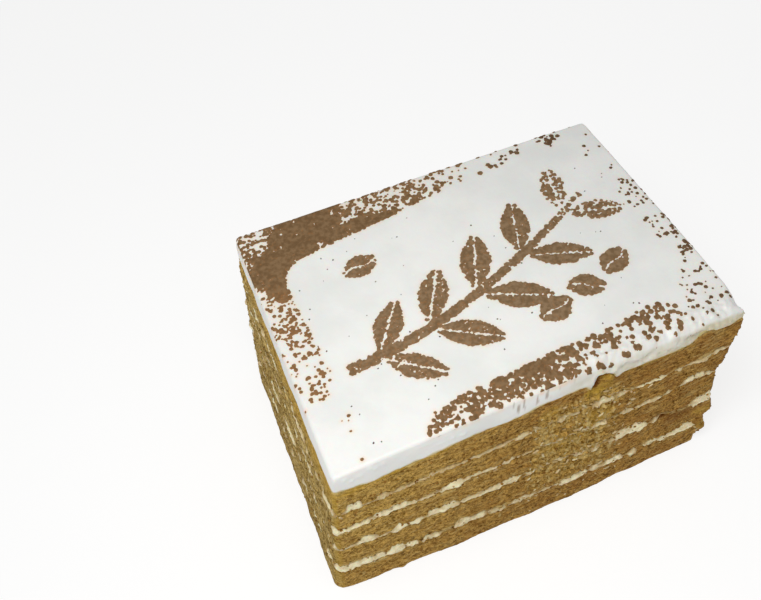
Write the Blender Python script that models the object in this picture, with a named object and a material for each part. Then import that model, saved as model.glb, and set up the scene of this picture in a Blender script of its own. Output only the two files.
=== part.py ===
"""A slice of tiramisu: sponge and cream in nine thin layers under a thick icing with a cocoa stencil.

Metres, +Z up. The slice stands on the middle of its footprint, its long cut face looks to -Y, and
its plan measures below run right and back from the front left corner of an ideal, square block.
"""

import math
import random
from dataclasses import dataclass

import bmesh
import bpy
from mathutils import Matrix, Vector, noise

MM = 0.001

# Driving dimensions of the block
LENGTH = 100 * MM
WIDTH = 70 * MM
HEIGHT = 57 * MM
GAP = 0.3 * MM

# The middle of the real footprint, which leans a little out of the ideal block
MIDDLE = Vector((49.3 * MM, 34.5 * MM, 0))

# A knife leaves no square corners: how far each lies right and back of the ideal one, from the
# front left corner round by the front right, and the radius it is rounded to
GROUND_SHIFT = ((-3.0, -1.8), (0.0, 0.0), (-1.2, 0.4), (-0.7, 1.8))
TOP_SHIFT = ((1.3, -2.6), (1.5, 0.1), (-1.2, -0.4), (2.2, -0.4))
CORNER_RADIUS = (2.4 * MM, 1.6 * MM, 1.6 * MM, 2.0 * MM)
LEAST_RADIUS = 0.6 * MM

# Points round the slice: along the front, right, back and left sides, and steps round a corner
SIDE_POINTS = (37, 17, 22, 17)
CORNER_STEPS = 2

# Crumb relief on the sponge, and how far the creams swell out of their seams
CRUMB_SIZE = 4.6 * MM
CRUMB_DEPTH = 1.2 * MM
CREAM_SIZE = 7.0 * MM
CREAM_SWELL = 0.9 * MM
SPONGE_ROWS = (0.3, 0.7)
CREAM_ROWS = (0.5,)
LEAST_LAYER = 0.7 * MM

# The icing's side from its seam up: the share of its height, and how far it stands back
ICING_ROWS = ((0.32, -0.4 * MM), (0.72, -0.1 * MM))
SHOULDER_INSET = 0.45 * MM
SHOULDER_DROP = 0.35 * MM
SOFT_SHOULDER = 1.6
SOFT_FROM = 55 * MM
SOFT_FULL = 72 * MM
TOP_INSET = 4.0 * MM

# Cocoa lies this high on the icing, and its solids reach this far down into it
COCOA_RISE = 0.35 * MM
COCOA_ROOT = 0.5 * MM
COCOA_SLOPE = 0.2 * MM

# The two wide drifts of cocoa, as the corners of their outlines right and back in millimetres
BACK_BAND = (
    (2.6, 17), (9.6, 17), (8.8, 49), (9.6, 54), (13, 56.5), (20, 57.5), (40, 60.3), (59, 64), (59, 68), (3, 68)
)
FRONT_BAND = ((24, 0.9), (58, 0.9), (65, 3.4), (65, 6.6), (60, 7), (50, 6), (40, 5), (33, 4.5), (27, 3.2))
DRIFT_STEP = 2.4 * MM
DRIFT_TEAR = 0.8 * MM

# Fields of loose specks in millimetres: left, right, front, back, and how many lie there
SPECK_FIELDS = (
    (67, 88, 2.5, 8.5, 12), (12, 22, 1, 5, 3), (92.5, 97.6, 8, 22, 5), (94, 98.5, 26, 46, 5), (61, 80, 63.5, 67.8, 8)
)
SPECK_SIDES = 6
SPECK_SEED = 11

# The ornament: a sprig over the middle, with its leaves in pairs and coffee beans beside it
STEM_START = Vector((14 * MM, 21 * MM, 0))
STEM_BEND = Vector((46 * MM, 23 * MM, 0))
STEM_END = Vector((85 * MM, 47 * MM, 0))
STEM_WIDTH = 1.7 * MM
STEM_STEPS = 14
LEAF_PAIRS = 5
LEAF_LENGTH = 15.5 * MM
LEAF_WIDTH = 6.6 * MM
LEAF_TURN = math.radians(46)
LEAF_STEPS = 5
RIB_WIDTH = 0.8 * MM
LEAF_TIP = 1.0 * MM
# Each bean's middle in millimetres, and its turn in degrees
BEANS = ((63, 17.5, 20), (72.5, 20.5, -25), (82, 24.5, 35), (27, 48, 15))
BEAN_LENGTH = 9 * MM
BEAN_WIDTH = 6.2 * MM


@dataclass(frozen=True)
class Seam:
    """A surface between two layers: its height at the slice's left and right end, and its ripple."""

    left: float
    right: float
    ripple: float


@dataclass(frozen=True)
class Bump:
    """A place on the front where a seam leaves its line: how far along, how wide and how high."""

    seam: int
    along: float
    spread: float
    lift: float


SEAMS = (
    Seam(0, 0, 0),
    Seam(9.6 * MM, 7.6 * MM, 0.55 * MM),
    Seam(12.2 * MM, 10.4 * MM, 0.6 * MM),
    Seam(20.7 * MM, 19.8 * MM, 0.6 * MM),
    Seam(23.0 * MM, 22.4 * MM, 0.6 * MM),
    Seam(30.6 * MM, 32.3 * MM, 0.5 * MM),
    Seam(32.8 * MM, 34.4 * MM, 0.6 * MM),
    Seam(39.3 * MM, 41.2 * MM, 0.35 * MM),
    Seam(40.9 * MM, 42.5 * MM, 0.35 * MM),
    Seam(49.8 * MM, 52.4 * MM, 0.4 * MM),
)
BUMPS = (
    Bump(9, 65.0 * MM, 1.8 * MM, 2.6 * MM),
    Bump(9, 61.0 * MM, 1.6 * MM, -1.2 * MM),
    Bump(9, 91.0 * MM, 2.2 * MM, 1.4 * MM),
    Bump(8, 4.5 * MM, 2.4 * MM, 1.8 * MM),
    Bump(8, 43.5 * MM, 3.0 * MM, 0.8 * MM),
    Bump(7, 66.0 * MM, 2.0 * MM, -1.2 * MM),
    Bump(4, 4.5 * MM, 2.6 * MM, 1.2 * MM),
    Bump(4, 75.0 * MM, 4.0 * MM, 0.9 * MM),
    Bump(4, 97.0 * MM, 3.5 * MM, 0.9 * MM),
    Bump(3, 70.5 * MM, 1.6 * MM, -1.4 * MM),
    Bump(2, 0.0 * MM, 3.0 * MM, 1.2 * MM),
    Bump(1, 78.0 * MM, 1.8 * MM, -2.2 * MM),
)
FRONT_DEPTH = 8 * MM

# The finish of each kind of layer: colour, roughness and metallic value
SPONGE_FINISH = ((0.30, 0.17, 0.055, 1), 0.95, 0)
CREAM_FINISH = ((0.72, 0.62, 0.40, 1), 0.6, 0)
ICING_FINISH = ((0.88, 0.88, 0.85, 1), 0.5, 0)


def clear_scene():
    """Empties the scene that the script runs in."""
    for thing in list(bpy.data.objects):
        bpy.data.objects.remove(thing, do_unlink=True)


def smooth_step(value, start, full):
    """Rises smoothly from 0 at start to 1 at full."""
    share = min(max((value - start) / (full - start), 0), 1)
    return share * share * (3 - 2 * share)


def corner(index, height):
    """One corner of the block at a height, between where it stands and where it ends on top."""
    ideal = Vector(((0, LENGTH, LENGTH, 0)[index], (0, 0, WIDTH, WIDTH)[index], 0))
    low = Vector((*GROUND_SHIFT[index], 0)) * MM
    high = Vector((*TOP_SHIFT[index], 0)) * MM
    return ideal + low.lerp(high, min(height / HEIGHT, 1)) - MIDDLE


def rounded(before, here, after, radius, inset):
    """Points round one corner, with the way out at each, after the outline has moved in by inset."""
    ways = [(before - here).normalized(), (after - here).normalized()]
    half = ways[0].angle(ways[1]) / 2
    radius = max(radius - inset, LEAST_RADIUS)
    centre = here + (ways[0] + ways[1]).normalized() * (inset + radius) / math.sin(half)
    first_out = Vector((-ways[0].y, ways[0].x, 0))
    turn = math.pi - 2 * half
    points = []
    for step in range(CORNER_STEPS + 1):
        out = Matrix.Rotation(turn * step / CORNER_STEPS, 3, "Z") @ first_out
        points.append((centre + out * radius, out))
    return points


def outline(height, inset=0.0):
    """The points round the block at a height, counterclockwise from the front left corner."""
    corners = [corner(index, height) for index in range(4)]
    bends = [
        rounded(corners[i - 1], corners[i], corners[(i + 1) % 4], CORNER_RADIUS[i], inset)
        for i in range(4)
    ]
    points = []
    for i, bend in enumerate(bends):
        points += bend
        (start, out), (end, _) = bend[-1], bends[(i + 1) % 4][0]
        count = SIDE_POINTS[i] + 1
        points += [(start.lerp(end, step / count), out) for step in range(1, count)]
    return [(point + Vector((0, 0, height)), out) for point, out in points]


def ripple(point, size, seed):
    """A smooth random value near -1 to 1 that changes over about the given size."""
    return noise.noise(point / size + Vector((0, 0, 17.3 * seed)))


def seam_height(index, point):
    """How high a seam runs over a point of the plan."""
    seam = SEAMS[index]
    along = point.x + MIDDLE.x
    height = seam.left + (seam.right - seam.left) * along / LENGTH
    flat = Vector((point.x, point.y, 0))
    height += seam.ripple * (ripple(flat, 9 * MM, index) + 0.6 * ripple(flat, 4 * MM, index + 20))
    near_front = 1 - smooth_step(point.y + MIDDLE.y, 0, FRONT_DEPTH)
    for bump in BUMPS:
        if bump.seam == index:
            reach = math.exp(-(((along - bump.along) / bump.spread) ** 2))
            height += bump.lift * reach * near_front
    return height


def seam_ring(index):
    """The line where a seam meets the outside, at least a thin layer above the seam below it."""
    middle = (SEAMS[index].left + SEAMS[index].right) / 2
    ring = []
    for point, out in outline(middle):
        edge = point + out * 0.3 * MM * ripple(point, CRUMB_SIZE, index)
        edge.z = seam_height(index, edge)
        if index:
            edge.z = max(edge.z, seam_height(index - 1, edge) + GAP + LEAST_LAYER)
        ring.append((edge, out))
    return ring


def lifted(ring, height):
    """A ring's points without their ways out, moved up."""
    return [point + Vector((0, 0, height)) for point, _ in ring]


def between(low, high, share, swell):
    """A ring between two others, swollen outward by what the function gives at each point."""
    ring = []
    for (below, out), (above, _) in zip(low, high):
        point = below.lerp(above, share)
        ring.append(point + out * swell(point))
    return ring


def loft(rings):
    """A bmesh through rings of as many points each, from the lowest up, with both ends closed."""
    bm = bmesh.new()
    made = bmesh.ops.create_circle(bm, segments=len(rings[0]), radius=LENGTH)["verts"]
    ends = [list(bm.edges)]
    edges = list(bm.edges)
    for vert, place in zip(made, rings[0]):
        vert.co = place
    for ring in rings[1:]:
        grown = bmesh.ops.extrude_edge_only(bm, edges=edges)["geom"]
        new = {part for part in grown if isinstance(part, bmesh.types.BMVert)}
        edges = [
            part
            for part in grown
            if isinstance(part, bmesh.types.BMEdge) and set(part.verts) <= new
        ]
        made = [next(o for e in v.link_edges if (o := e.other_vert(v)) in new) for v in made]
        for vert, place in zip(made, ring):
            vert.co = place
    ends.append(edges)
    for loop in ends:
        bmesh.ops.contextual_create(bm, geom=loop)
    return bm


def poke_end(bm, lowest):
    """Fans the lowest or the highest end face round its middle."""
    ends = [face for face in bm.faces if len(face.verts) > 4]
    choose = min if lowest else max
    face = choose(ends, key=lambda end: end.calc_center_median().z)
    bmesh.ops.poke(bm, faces=[face])


def finish(name, bm, material, collection):
    """Turns a bmesh into a named object with its faces out."""
    bmesh.ops.recalc_face_normals(bm, faces=bm.faces)
    mesh = bpy.data.meshes.new(name)
    bm.to_mesh(mesh)
    bm.free()
    mesh.materials.append(material)
    thing = bpy.data.objects.new(name, mesh)
    collection.objects.link(thing)
    return thing


def new_material(name, colour, roughness, metallic):
    """A plain surface."""
    material = bpy.data.materials.new(name)
    material.use_nodes = True
    shader = material.node_tree.nodes["Principled BSDF"]
    shader.inputs["Base Color"].default_value = colour
    shader.inputs["Roughness"].default_value = roughness
    shader.inputs["Metallic"].default_value = metallic
    return material


def new_collection(name):
    """A collection in the scene."""
    collection = bpy.data.collections.new(name)
    bpy.context.scene.collection.children.link(collection)
    return collection


def add_layer(name, index, rows, swell, finish_values, collection):
    """One sponge or cream layer, from its lower seam to its upper one."""
    low, high = seam_ring(index), seam_ring(index + 1)
    floor = GAP / 2 if index else 0
    rings = [lifted(low, floor)]
    rings += [between(low, high, share, swell) for share in rows]
    rings.append(lifted(high, -GAP / 2))
    bm = loft(rings)
    if index:
        poke_end(bm, lowest=True)
    poke_end(bm, lowest=False)
    return finish(name, bm, new_material(name, *finish_values), collection)


def crumb(point):
    """How far torn sponge stands out at a point of the side."""
    coarse = ripple(point, CRUMB_SIZE, 40)
    fine = ripple(point, CRUMB_SIZE / 2, 41)
    return CRUMB_DEPTH * (0.75 * coarse + 0.5 * fine)


def smear(point):
    """How far cream swells out of its seam."""
    return CREAM_SWELL * (0.35 + ripple(point, CREAM_SIZE, 60))


def shoulder(point):
    """How much rounder than a knife cut the icing's upper edge is, 1 where it is sharp."""
    along, back = point.x + MIDDLE.x, point.y + MIDDLE.y
    torn = smooth_step(along, SOFT_FROM, SOFT_FULL) * (1 - smooth_step(back, 6 * MM, 16 * MM))
    return 1 + (SOFT_SHOULDER - 1) * torn


def icing_rings():
    """The icing's rings, from its seam up its side, over its edge and in to the flat top."""
    low = seam_ring(len(SEAMS) - 1)
    top = outline(HEIGHT)
    rings = [lifted(low, GAP / 2)]
    for share, back in ICING_ROWS:
        rings.append(between(low, top, share, lambda p, b=back: 0.5 * MM * ripple(p, 5 * MM, 80) - b))
    edge, rim = [], []
    for point, out in top:
        soft = shoulder(point)
        edge.append(point - out * 0.2 * MM * soft - Vector((0, 0, SHOULDER_DROP * soft * 1.5)))
        rim.append(point - out * SHOULDER_INSET * soft * 2 - Vector((0, 0, SHOULDER_DROP * 0.2)))
    return rings + [edge, rim, [point for point, _ in outline(HEIGHT, TOP_INSET)]]


def inward_ways(points):
    """The way into a closed, counterclockwise outline at each of its points."""
    ways = []
    for before, after in zip(points[-1:] + points[:-1], points[1:] + points[:1]):
        along = (after - before).normalized()
        ways.append(Vector((-along.y, along.x, 0)))
    return ways


def add_pad(points, collection):
    """A low drift of cocoa over a closed outline given in the plan, rooted in the icing."""
    ways = inward_ways(points)
    rings = []
    for height, inset in ((-COCOA_ROOT, 0), (0.4 * COCOA_RISE, 0), (COCOA_RISE, COCOA_SLOPE)):
        lift = Vector((0, 0, HEIGHT + height)) - MIDDLE
        rings.append([point + way * inset + lift for point, way in zip(points, ways)])
    return finish("drift", loft(rings), bpy.data.materials["icing"], collection)


def patch(x, y, radius, sides, seed):
    """A roughly round outline."""
    points = []
    for step in range(sides):
        angle = math.tau * step / sides
        way = Vector((math.cos(angle), math.sin(angle), 0))
        uneven = 1 + 0.3 * ripple(way, 0.9, seed)
        points.append(Vector((x, y, 0)) + way * radius * uneven)
    return points


def ragged(corners, seed):
    """A closed outline through corners given in millimetres, stepped along and torn to and fro."""
    places = [Vector((*corner_mm, 0)) * MM for corner_mm in corners]
    points = []
    for start, end in zip(places, places[1:] + places[:1]):
        steps = max(1, round((end - start).length / DRIFT_STEP))
        points += [start.lerp(end, step / steps) for step in range(steps)]
    ways = inward_ways(points)
    return [p + w * DRIFT_TEAR * ripple(p, 2.1 * MM, seed) for p, w in zip(points, ways)]


def dusting():
    """The outlines of the cocoa that missed the stencil: two wide bands and the specks past them."""
    yield ragged(BACK_BAND, 1)
    yield ragged(FRONT_BAND, 2)
    draw = random.Random(SPECK_SEED)
    for left, right, front, back, count in SPECK_FIELDS:
        for step in range(count):
            x = left + (right - left) * (step + draw.random()) / count
            y = draw.uniform(front, back)
            yield patch(x * MM, y * MM, draw.uniform(0.6, 1.05) * MM, SPECK_SIDES, step)


def stem_at(share):
    """A place on the stem and the way it runs there."""
    first, second = STEM_START.lerp(STEM_BEND, share), STEM_BEND.lerp(STEM_END, share)
    return first.lerp(second, share), (second - first).normalized()


def stem_outline():
    """Up one side of the stem and back down the other, tapering to its tip."""
    sides = {1: [], -1: []}
    for step in range(STEM_STEPS + 1):
        share = step / STEM_STEPS
        place, way = stem_at(share)
        half = STEM_WIDTH * (0.62 - 0.3 * share)
        for hand, side in sides.items():
            side.append(place + Vector((way.y, -way.x, 0)) * half * hand)
    return sides[1] + sides[-1][::-1]


def lens_half(start, way, length, width, hand, bow=0.0):
    """One half of a pointed oval, cut along its rib, which bows into an S where bow isn't 0."""
    across = Vector((-way.y, way.x, 0)) * hand
    outer, inner = [], []
    for step in range(LEAF_STEPS + 1):
        share = (step + 0.35) / (LEAF_STEPS + 0.7)
        belly = math.sin(math.pi * share) ** 0.8
        rib = bow * math.sin(math.tau * share) * hand + RIB_WIDTH / 2
        outer.append(start + way * length * share + across * max(width / 2 * belly, rib + LEAF_TIP))
        inner.append(start + way * length * share + across * rib)
    return inner + outer[::-1] if hand > 0 else outer + inner[::-1]


def ornament():
    """The outlines of the stencilled sprig and beans."""
    yield stem_outline()
    for pair in range(LEAF_PAIRS):
        share = (pair + 0.55) / LEAF_PAIRS
        place, way = stem_at(share)
        size = 1 - 0.35 * abs(share - 0.45)
        for side in (1, -1):
            leaf_way = Matrix.Rotation(LEAF_TURN * side, 3, "Z") @ way
            start = place + leaf_way * 1.9 * MM
            for hand in (1, -1):
                yield lens_half(start, leaf_way, LEAF_LENGTH * size, LEAF_WIDTH * size, hand)
    for x, y, turn in BEANS:
        way = Matrix.Rotation(math.radians(turn), 3, "Z") @ Vector((1, 0, 0))
        start = Vector((x, y, 0)) * MM - way * BEAN_LENGTH / 2
        for hand in (1, -1):
            yield lens_half(start, way, BEAN_LENGTH, BEAN_WIDTH, hand, bow=0.6 * MM)


def add_icing(collection, drifts):
    """The icing slab, with the cocoa that shows from a step away joined to its top."""
    bm = loft(icing_rings())
    poke_end(bm, lowest=True)
    icing = finish("icing", bm, new_material("icing", *ICING_FINISH), collection)
    for points in [*dusting(), *ornament()]:
        pad = add_pad(points, drifts)
        pad.hide_render = True
        pad.display_type = "WIRE"
    join = icing.modifiers.new("cocoa", "BOOLEAN")
    join.operation = "UNION"
    join.operand_type = "COLLECTION"
    join.collection = drifts
    apply_modifiers(icing)
    for pad in list(drifts.objects):
        bpy.data.objects.remove(pad, do_unlink=True)


def apply_modifiers(thing):
    """Gives an object the mesh that its modifiers make."""
    evaluated = thing.evaluated_get(bpy.context.evaluated_depsgraph_get())
    made = bpy.data.meshes.new_from_object(evaluated)
    thing.modifiers.clear()
    thing.data = made


def main():
    """Builds the slice from the bottom up."""
    clear_scene()
    collection = new_collection("tiramisu slice")
    drifts = new_collection("cocoa drifts")
    for index in range(len(SEAMS) - 1):
        number = index // 2 + 1
        if index % 2:
            add_layer(f"cream_{number}", index, CREAM_ROWS, smear, CREAM_FINISH, collection)
        else:
            add_layer(f"sponge_{number}", index, SPONGE_ROWS, crumb, SPONGE_FINISH, collection)
    add_icing(collection, drifts)


main()
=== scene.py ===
"""The looks of a tiramisu slice: torn sponge, smeared cream, white icing and stencilled cocoa.

Plan measures are millimetres right and back from the front left corner of an ideal block, and
heights are millimetres above the surface that the slice stands on. A walk is the way in
millimetres from that corner round the block: the front, the right, the back and the left.
"""

import logging
import math
import random
from collections.abc import Callable
from dataclasses import dataclass, field
from enum import Enum
from functools import cached_property

import bmesh
import bpy
import numpy as np
from mathutils import Matrix, Vector, noise

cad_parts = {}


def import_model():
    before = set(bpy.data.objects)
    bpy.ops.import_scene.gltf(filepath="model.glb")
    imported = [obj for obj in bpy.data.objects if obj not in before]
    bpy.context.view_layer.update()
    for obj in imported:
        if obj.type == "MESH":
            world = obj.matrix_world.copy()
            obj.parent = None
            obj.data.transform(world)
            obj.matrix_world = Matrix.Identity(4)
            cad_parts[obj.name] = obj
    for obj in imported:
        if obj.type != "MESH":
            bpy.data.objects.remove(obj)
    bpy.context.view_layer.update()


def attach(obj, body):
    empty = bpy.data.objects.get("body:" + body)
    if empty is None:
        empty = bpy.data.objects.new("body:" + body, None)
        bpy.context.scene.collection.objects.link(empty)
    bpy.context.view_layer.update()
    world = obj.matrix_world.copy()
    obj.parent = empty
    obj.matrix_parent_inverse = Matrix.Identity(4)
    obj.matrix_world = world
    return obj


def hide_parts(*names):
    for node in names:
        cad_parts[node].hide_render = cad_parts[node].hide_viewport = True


MM = 0.001
BODY = "root"
Line = Callable[[np.ndarray], np.ndarray]
Socket = bpy.types.NodeSocket

log = logging.getLogger("tiramisu")


class StainAndPaintedLight(Enum):
    """What a patch of sponge is soaked with, brown also standing for painted shade and golden for a
    painted highlight, and the attribute that holds how strongly.
    """

    # Soaked golden, and also a painted highlight along the front left corner.
    GOLDEN = "golden"
    # Soaked brown, and also painted shade in a hole and under the icing's notch.
    BROWN = "brown"
    CREAM = "smear"


class Fall(Enum):
    """How a grain of cocoa came to lie on the icing."""

    SPILLED = 0
    STENCILLED = 1
    STRAY = 2


def smooth_step(start: float, full: float, value: np.ndarray) -> np.ndarray:
    """Rises smoothly from 0 at start to 1 at full.

    Args:
        start: The value up to which the result is 0.
        full: The value from which the result is 1.
        value: The values to read.

    Returns:
        The share for each value.
    """
    share = np.clip((np.asarray(value, float) - start) / (full - start), 0, 1)
    return share * share * (3 - 2 * share)


def ripple(points: np.ndarray, size: float, seed: int, octaves: int = 1) -> np.ndarray:
    """A smooth random value for each point, mostly between -1 and 1.

    Args:
        points: One row of three coordinates for each point.
        size: The distance over which the value changes.
        seed: Which of many unlike patterns to read.
        octaves: How many finer patterns are added on top.

    Returns:
        The value at each point.
    """
    shift = Vector((7.1 * seed, 3.7 * seed, 11.3 * seed))
    scaled = (np.asarray(points, float) / size).tolist()
    if octaves == 1:
        return 1.6 * np.array([noise.noise(Vector(p) + shift) for p in scaled])
    values = [noise.fractal(Vector(p) + shift, 0.9, 2.1, octaves) for p in scaled]
    return 1.2 * np.array(values)


def in_plan(x: np.ndarray, y: np.ndarray) -> np.ndarray:
    """Plan points at height 0, one row each."""
    return np.stack([x, y, 0 * x], axis=-1)


def on_side(u: np.ndarray, v: np.ndarray) -> np.ndarray:
    """Which points of the unit square lie on its rim."""
    return np.maximum(np.abs(u - 0.5), np.abs(v - 0.5)) > 0.4999


@dataclass(frozen=True)
class Block:
    """The hand-cut block that every layer is part of."""

    length: float = 100.0
    width: float = 70.0
    height: float = 57.0
    middle: tuple[float, float] = (49.3, 34.5)
    ground_shift: tuple = ((-3.0, -1.4), (0.2, 0.4), (-1.2, 0.4), (-0.7, 1.8))
    top_shift: tuple = ((1.2, -2.6), (1.6, 0.1), (-1.2, -0.4), (2.2, -0.4))
    ground_radius: tuple = (3.0, 1.0, 1.8, 2.2)
    top_radius: tuple = (0.8, 0.8, 1.6, 1.6)
    front_bow: tuple[float, float] = (-1.1, 0.4)

    @property
    def round_trip(self) -> float:
        """The way round the ideal block."""
        return 2 * (self.length + self.width)

    def rim(self, along: np.ndarray) -> tuple[np.ndarray, np.ndarray]:
        """Where a walk round the block is after so many millimetres, in shares of its sides.

        Args:
            along: Distances walked from the front left corner.

        Returns:
            The shares to the right and to the back.
        """
        long, wide = self.length, self.width
        turns = (0, long, long + wide, 2 * long + wide, self.round_trip)
        walked = np.mod(along, self.round_trip)
        return np.interp(walked, turns, (0, 1, 1, 0, 0)), np.interp(walked, turns, (0, 0, 1, 1, 0))

    def walk(self, u: np.ndarray, v: np.ndarray) -> np.ndarray:
        """The walk round the block that ends at the rim point nearest each plan point.

        Args:
            u: Shares to the right.
            v: Shares to the back.

        Returns:
            The distances walked.
        """
        gaps = np.stack([v * self.width, (1 - u) * self.length, (1 - v) * self.width, u * self.length])
        side = np.argmin(gaps, axis=0)
        front, right = u * self.length, self.length + v * self.width
        back = self.length + self.width + (1 - u) * self.length
        left = 2 * self.length + self.width + (1 - v) * self.width
        return np.choose(side, [front, right, back, left])

    def rounded(self, u: np.ndarray, v: np.ndarray, share: np.ndarray) -> tuple[np.ndarray, ...]:
        """Pulls the block's four upright corners in to their radii.

        Args:
            u: Shares to the right.
            v: Shares to the back.
            share: Shares of the block's height.

        Returns:
            The new shares, and the way out in the plan at each point.
        """
        out_x = np.where(u > 0.5, 1.0, -1.0) * (np.abs(u - 0.5) >= 0.4999)
        out_y = np.where(v > 0.5, 1.0, -1.0) * (np.abs(v - 0.5) >= 0.4999)
        u, v = u.copy(), v.copy()
        for index, (low, high) in enumerate(zip(self.ground_radius, self.top_radius)):
            radius = low + (high - low) * share
            right, back = index in (1, 2), index in (2, 3)
            a = 1 - (1 - u if right else u) * self.length / radius
            b = 1 - (1 - v if back else v) * self.width / radius
            near = (a > 0) & (b > 0)
            bent_a = a * np.sqrt(np.clip(1 - b * b / 2, 0, 1))
            bent_b = b * np.sqrt(np.clip(1 - a * a / 2, 0, 1))
            new_u, new_v = (1 - bent_a) * radius / self.length, (1 - bent_b) * radius / self.width
            u = np.where(near, 1 - new_u if right else new_u, u)
            v = np.where(near, 1 - new_v if back else new_v, v)
            out_x = np.where(near, bent_a * (1 if right else -1), out_x)
            out_y = np.where(near, bent_b * (1 if back else -1), out_y)
        size = np.maximum(np.hypot(out_x, out_y), 1e-9)
        return u, v, out_x / size, out_y / size

    def place(self, u: np.ndarray, v: np.ndarray, z: np.ndarray) -> tuple[np.ndarray, ...]:
        """Places points of the block in the plan.

        Args:
            u: Shares to the right.
            v: Shares to the back.
            z: Heights.

        Returns:
            The plan coordinates, and the way out at each point.
        """
        share = np.clip(z / self.height, 0, 1)
        u, v, out_x, out_y = self.rounded(u, v, share)
        weights = ((1 - u) * (1 - v), u * (1 - v), u * v, (1 - u) * v)
        ideal = ((0, 0), (self.length, 0), (self.length, self.width), (0, self.width))
        x, y = np.zeros_like(share), np.zeros_like(share)
        for weight, corner, low, high in zip(weights, ideal, self.ground_shift, self.top_shift):
            x += weight * (corner[0] + low[0] + (high[0] - low[0]) * share)
            y += weight * (corner[1] + low[1] + (high[1] - low[1]) * share)
        bow = self.front_bow[0] + (self.front_bow[1] - self.front_bow[0]) * share
        y += bow * np.sin(np.pi * np.clip(u, 0, 1)) * (1 - v) ** 2
        return x, y, out_x, out_y

    def to_frame(self, x: np.ndarray, y: np.ndarray, z: np.ndarray) -> np.ndarray:
        """Plan measures and heights as metres in the frame, one row for each point."""
        return np.stack([x - self.middle[0], y - self.middle[1], z], axis=-1) * MM


@dataclass(frozen=True)
class Wall:
    """Points round a layer before any relief: plan, height, the way out and the walk there."""

    x: np.ndarray
    y: np.ndarray
    z: np.ndarray
    out_x: np.ndarray
    out_y: np.ndarray
    along: np.ndarray

    @property
    def points(self) -> np.ndarray:
        """The plan measures and heights, one row for each point."""
        return np.stack([self.x, self.y, self.z], axis=-1)

    @property
    def front(self) -> np.ndarray:
        """How much each point looks to the front."""
        return smooth_step(0.3, 0.8, -self.out_y)


@dataclass(frozen=True)
class LayerWall(Wall):
    """A layer's own points: their share of its height, whether they show, and its two edges."""

    share: np.ndarray
    side: np.ndarray
    low: np.ndarray
    high: np.ndarray

    @property
    def thick(self) -> np.ndarray:
        """The layer's height at each point."""
        return self.high - self.low


@dataclass(frozen=True)
class Spot:
    """A small place on the front: its middle, its reach both ways and how much it adds."""

    along: float
    height: float
    wide: float
    tall: float
    amount: float
    stain_and_light: StainAndPaintedLight | None = None

    def far(self, wall: Wall) -> np.ndarray:
        """How far from its middle each point is, where 1 is the end of its reach."""
        return ((wall.along - self.along) / self.wide) ** 2 + ((wall.z - self.height) / self.tall) ** 2


@dataclass(frozen=True)
class Streak:
    """A stretch of a seam where cream shows: the heights of its edges, and how pale it is."""

    start: float
    end: float
    low: float
    high: float
    pale: float = 1.0


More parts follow.
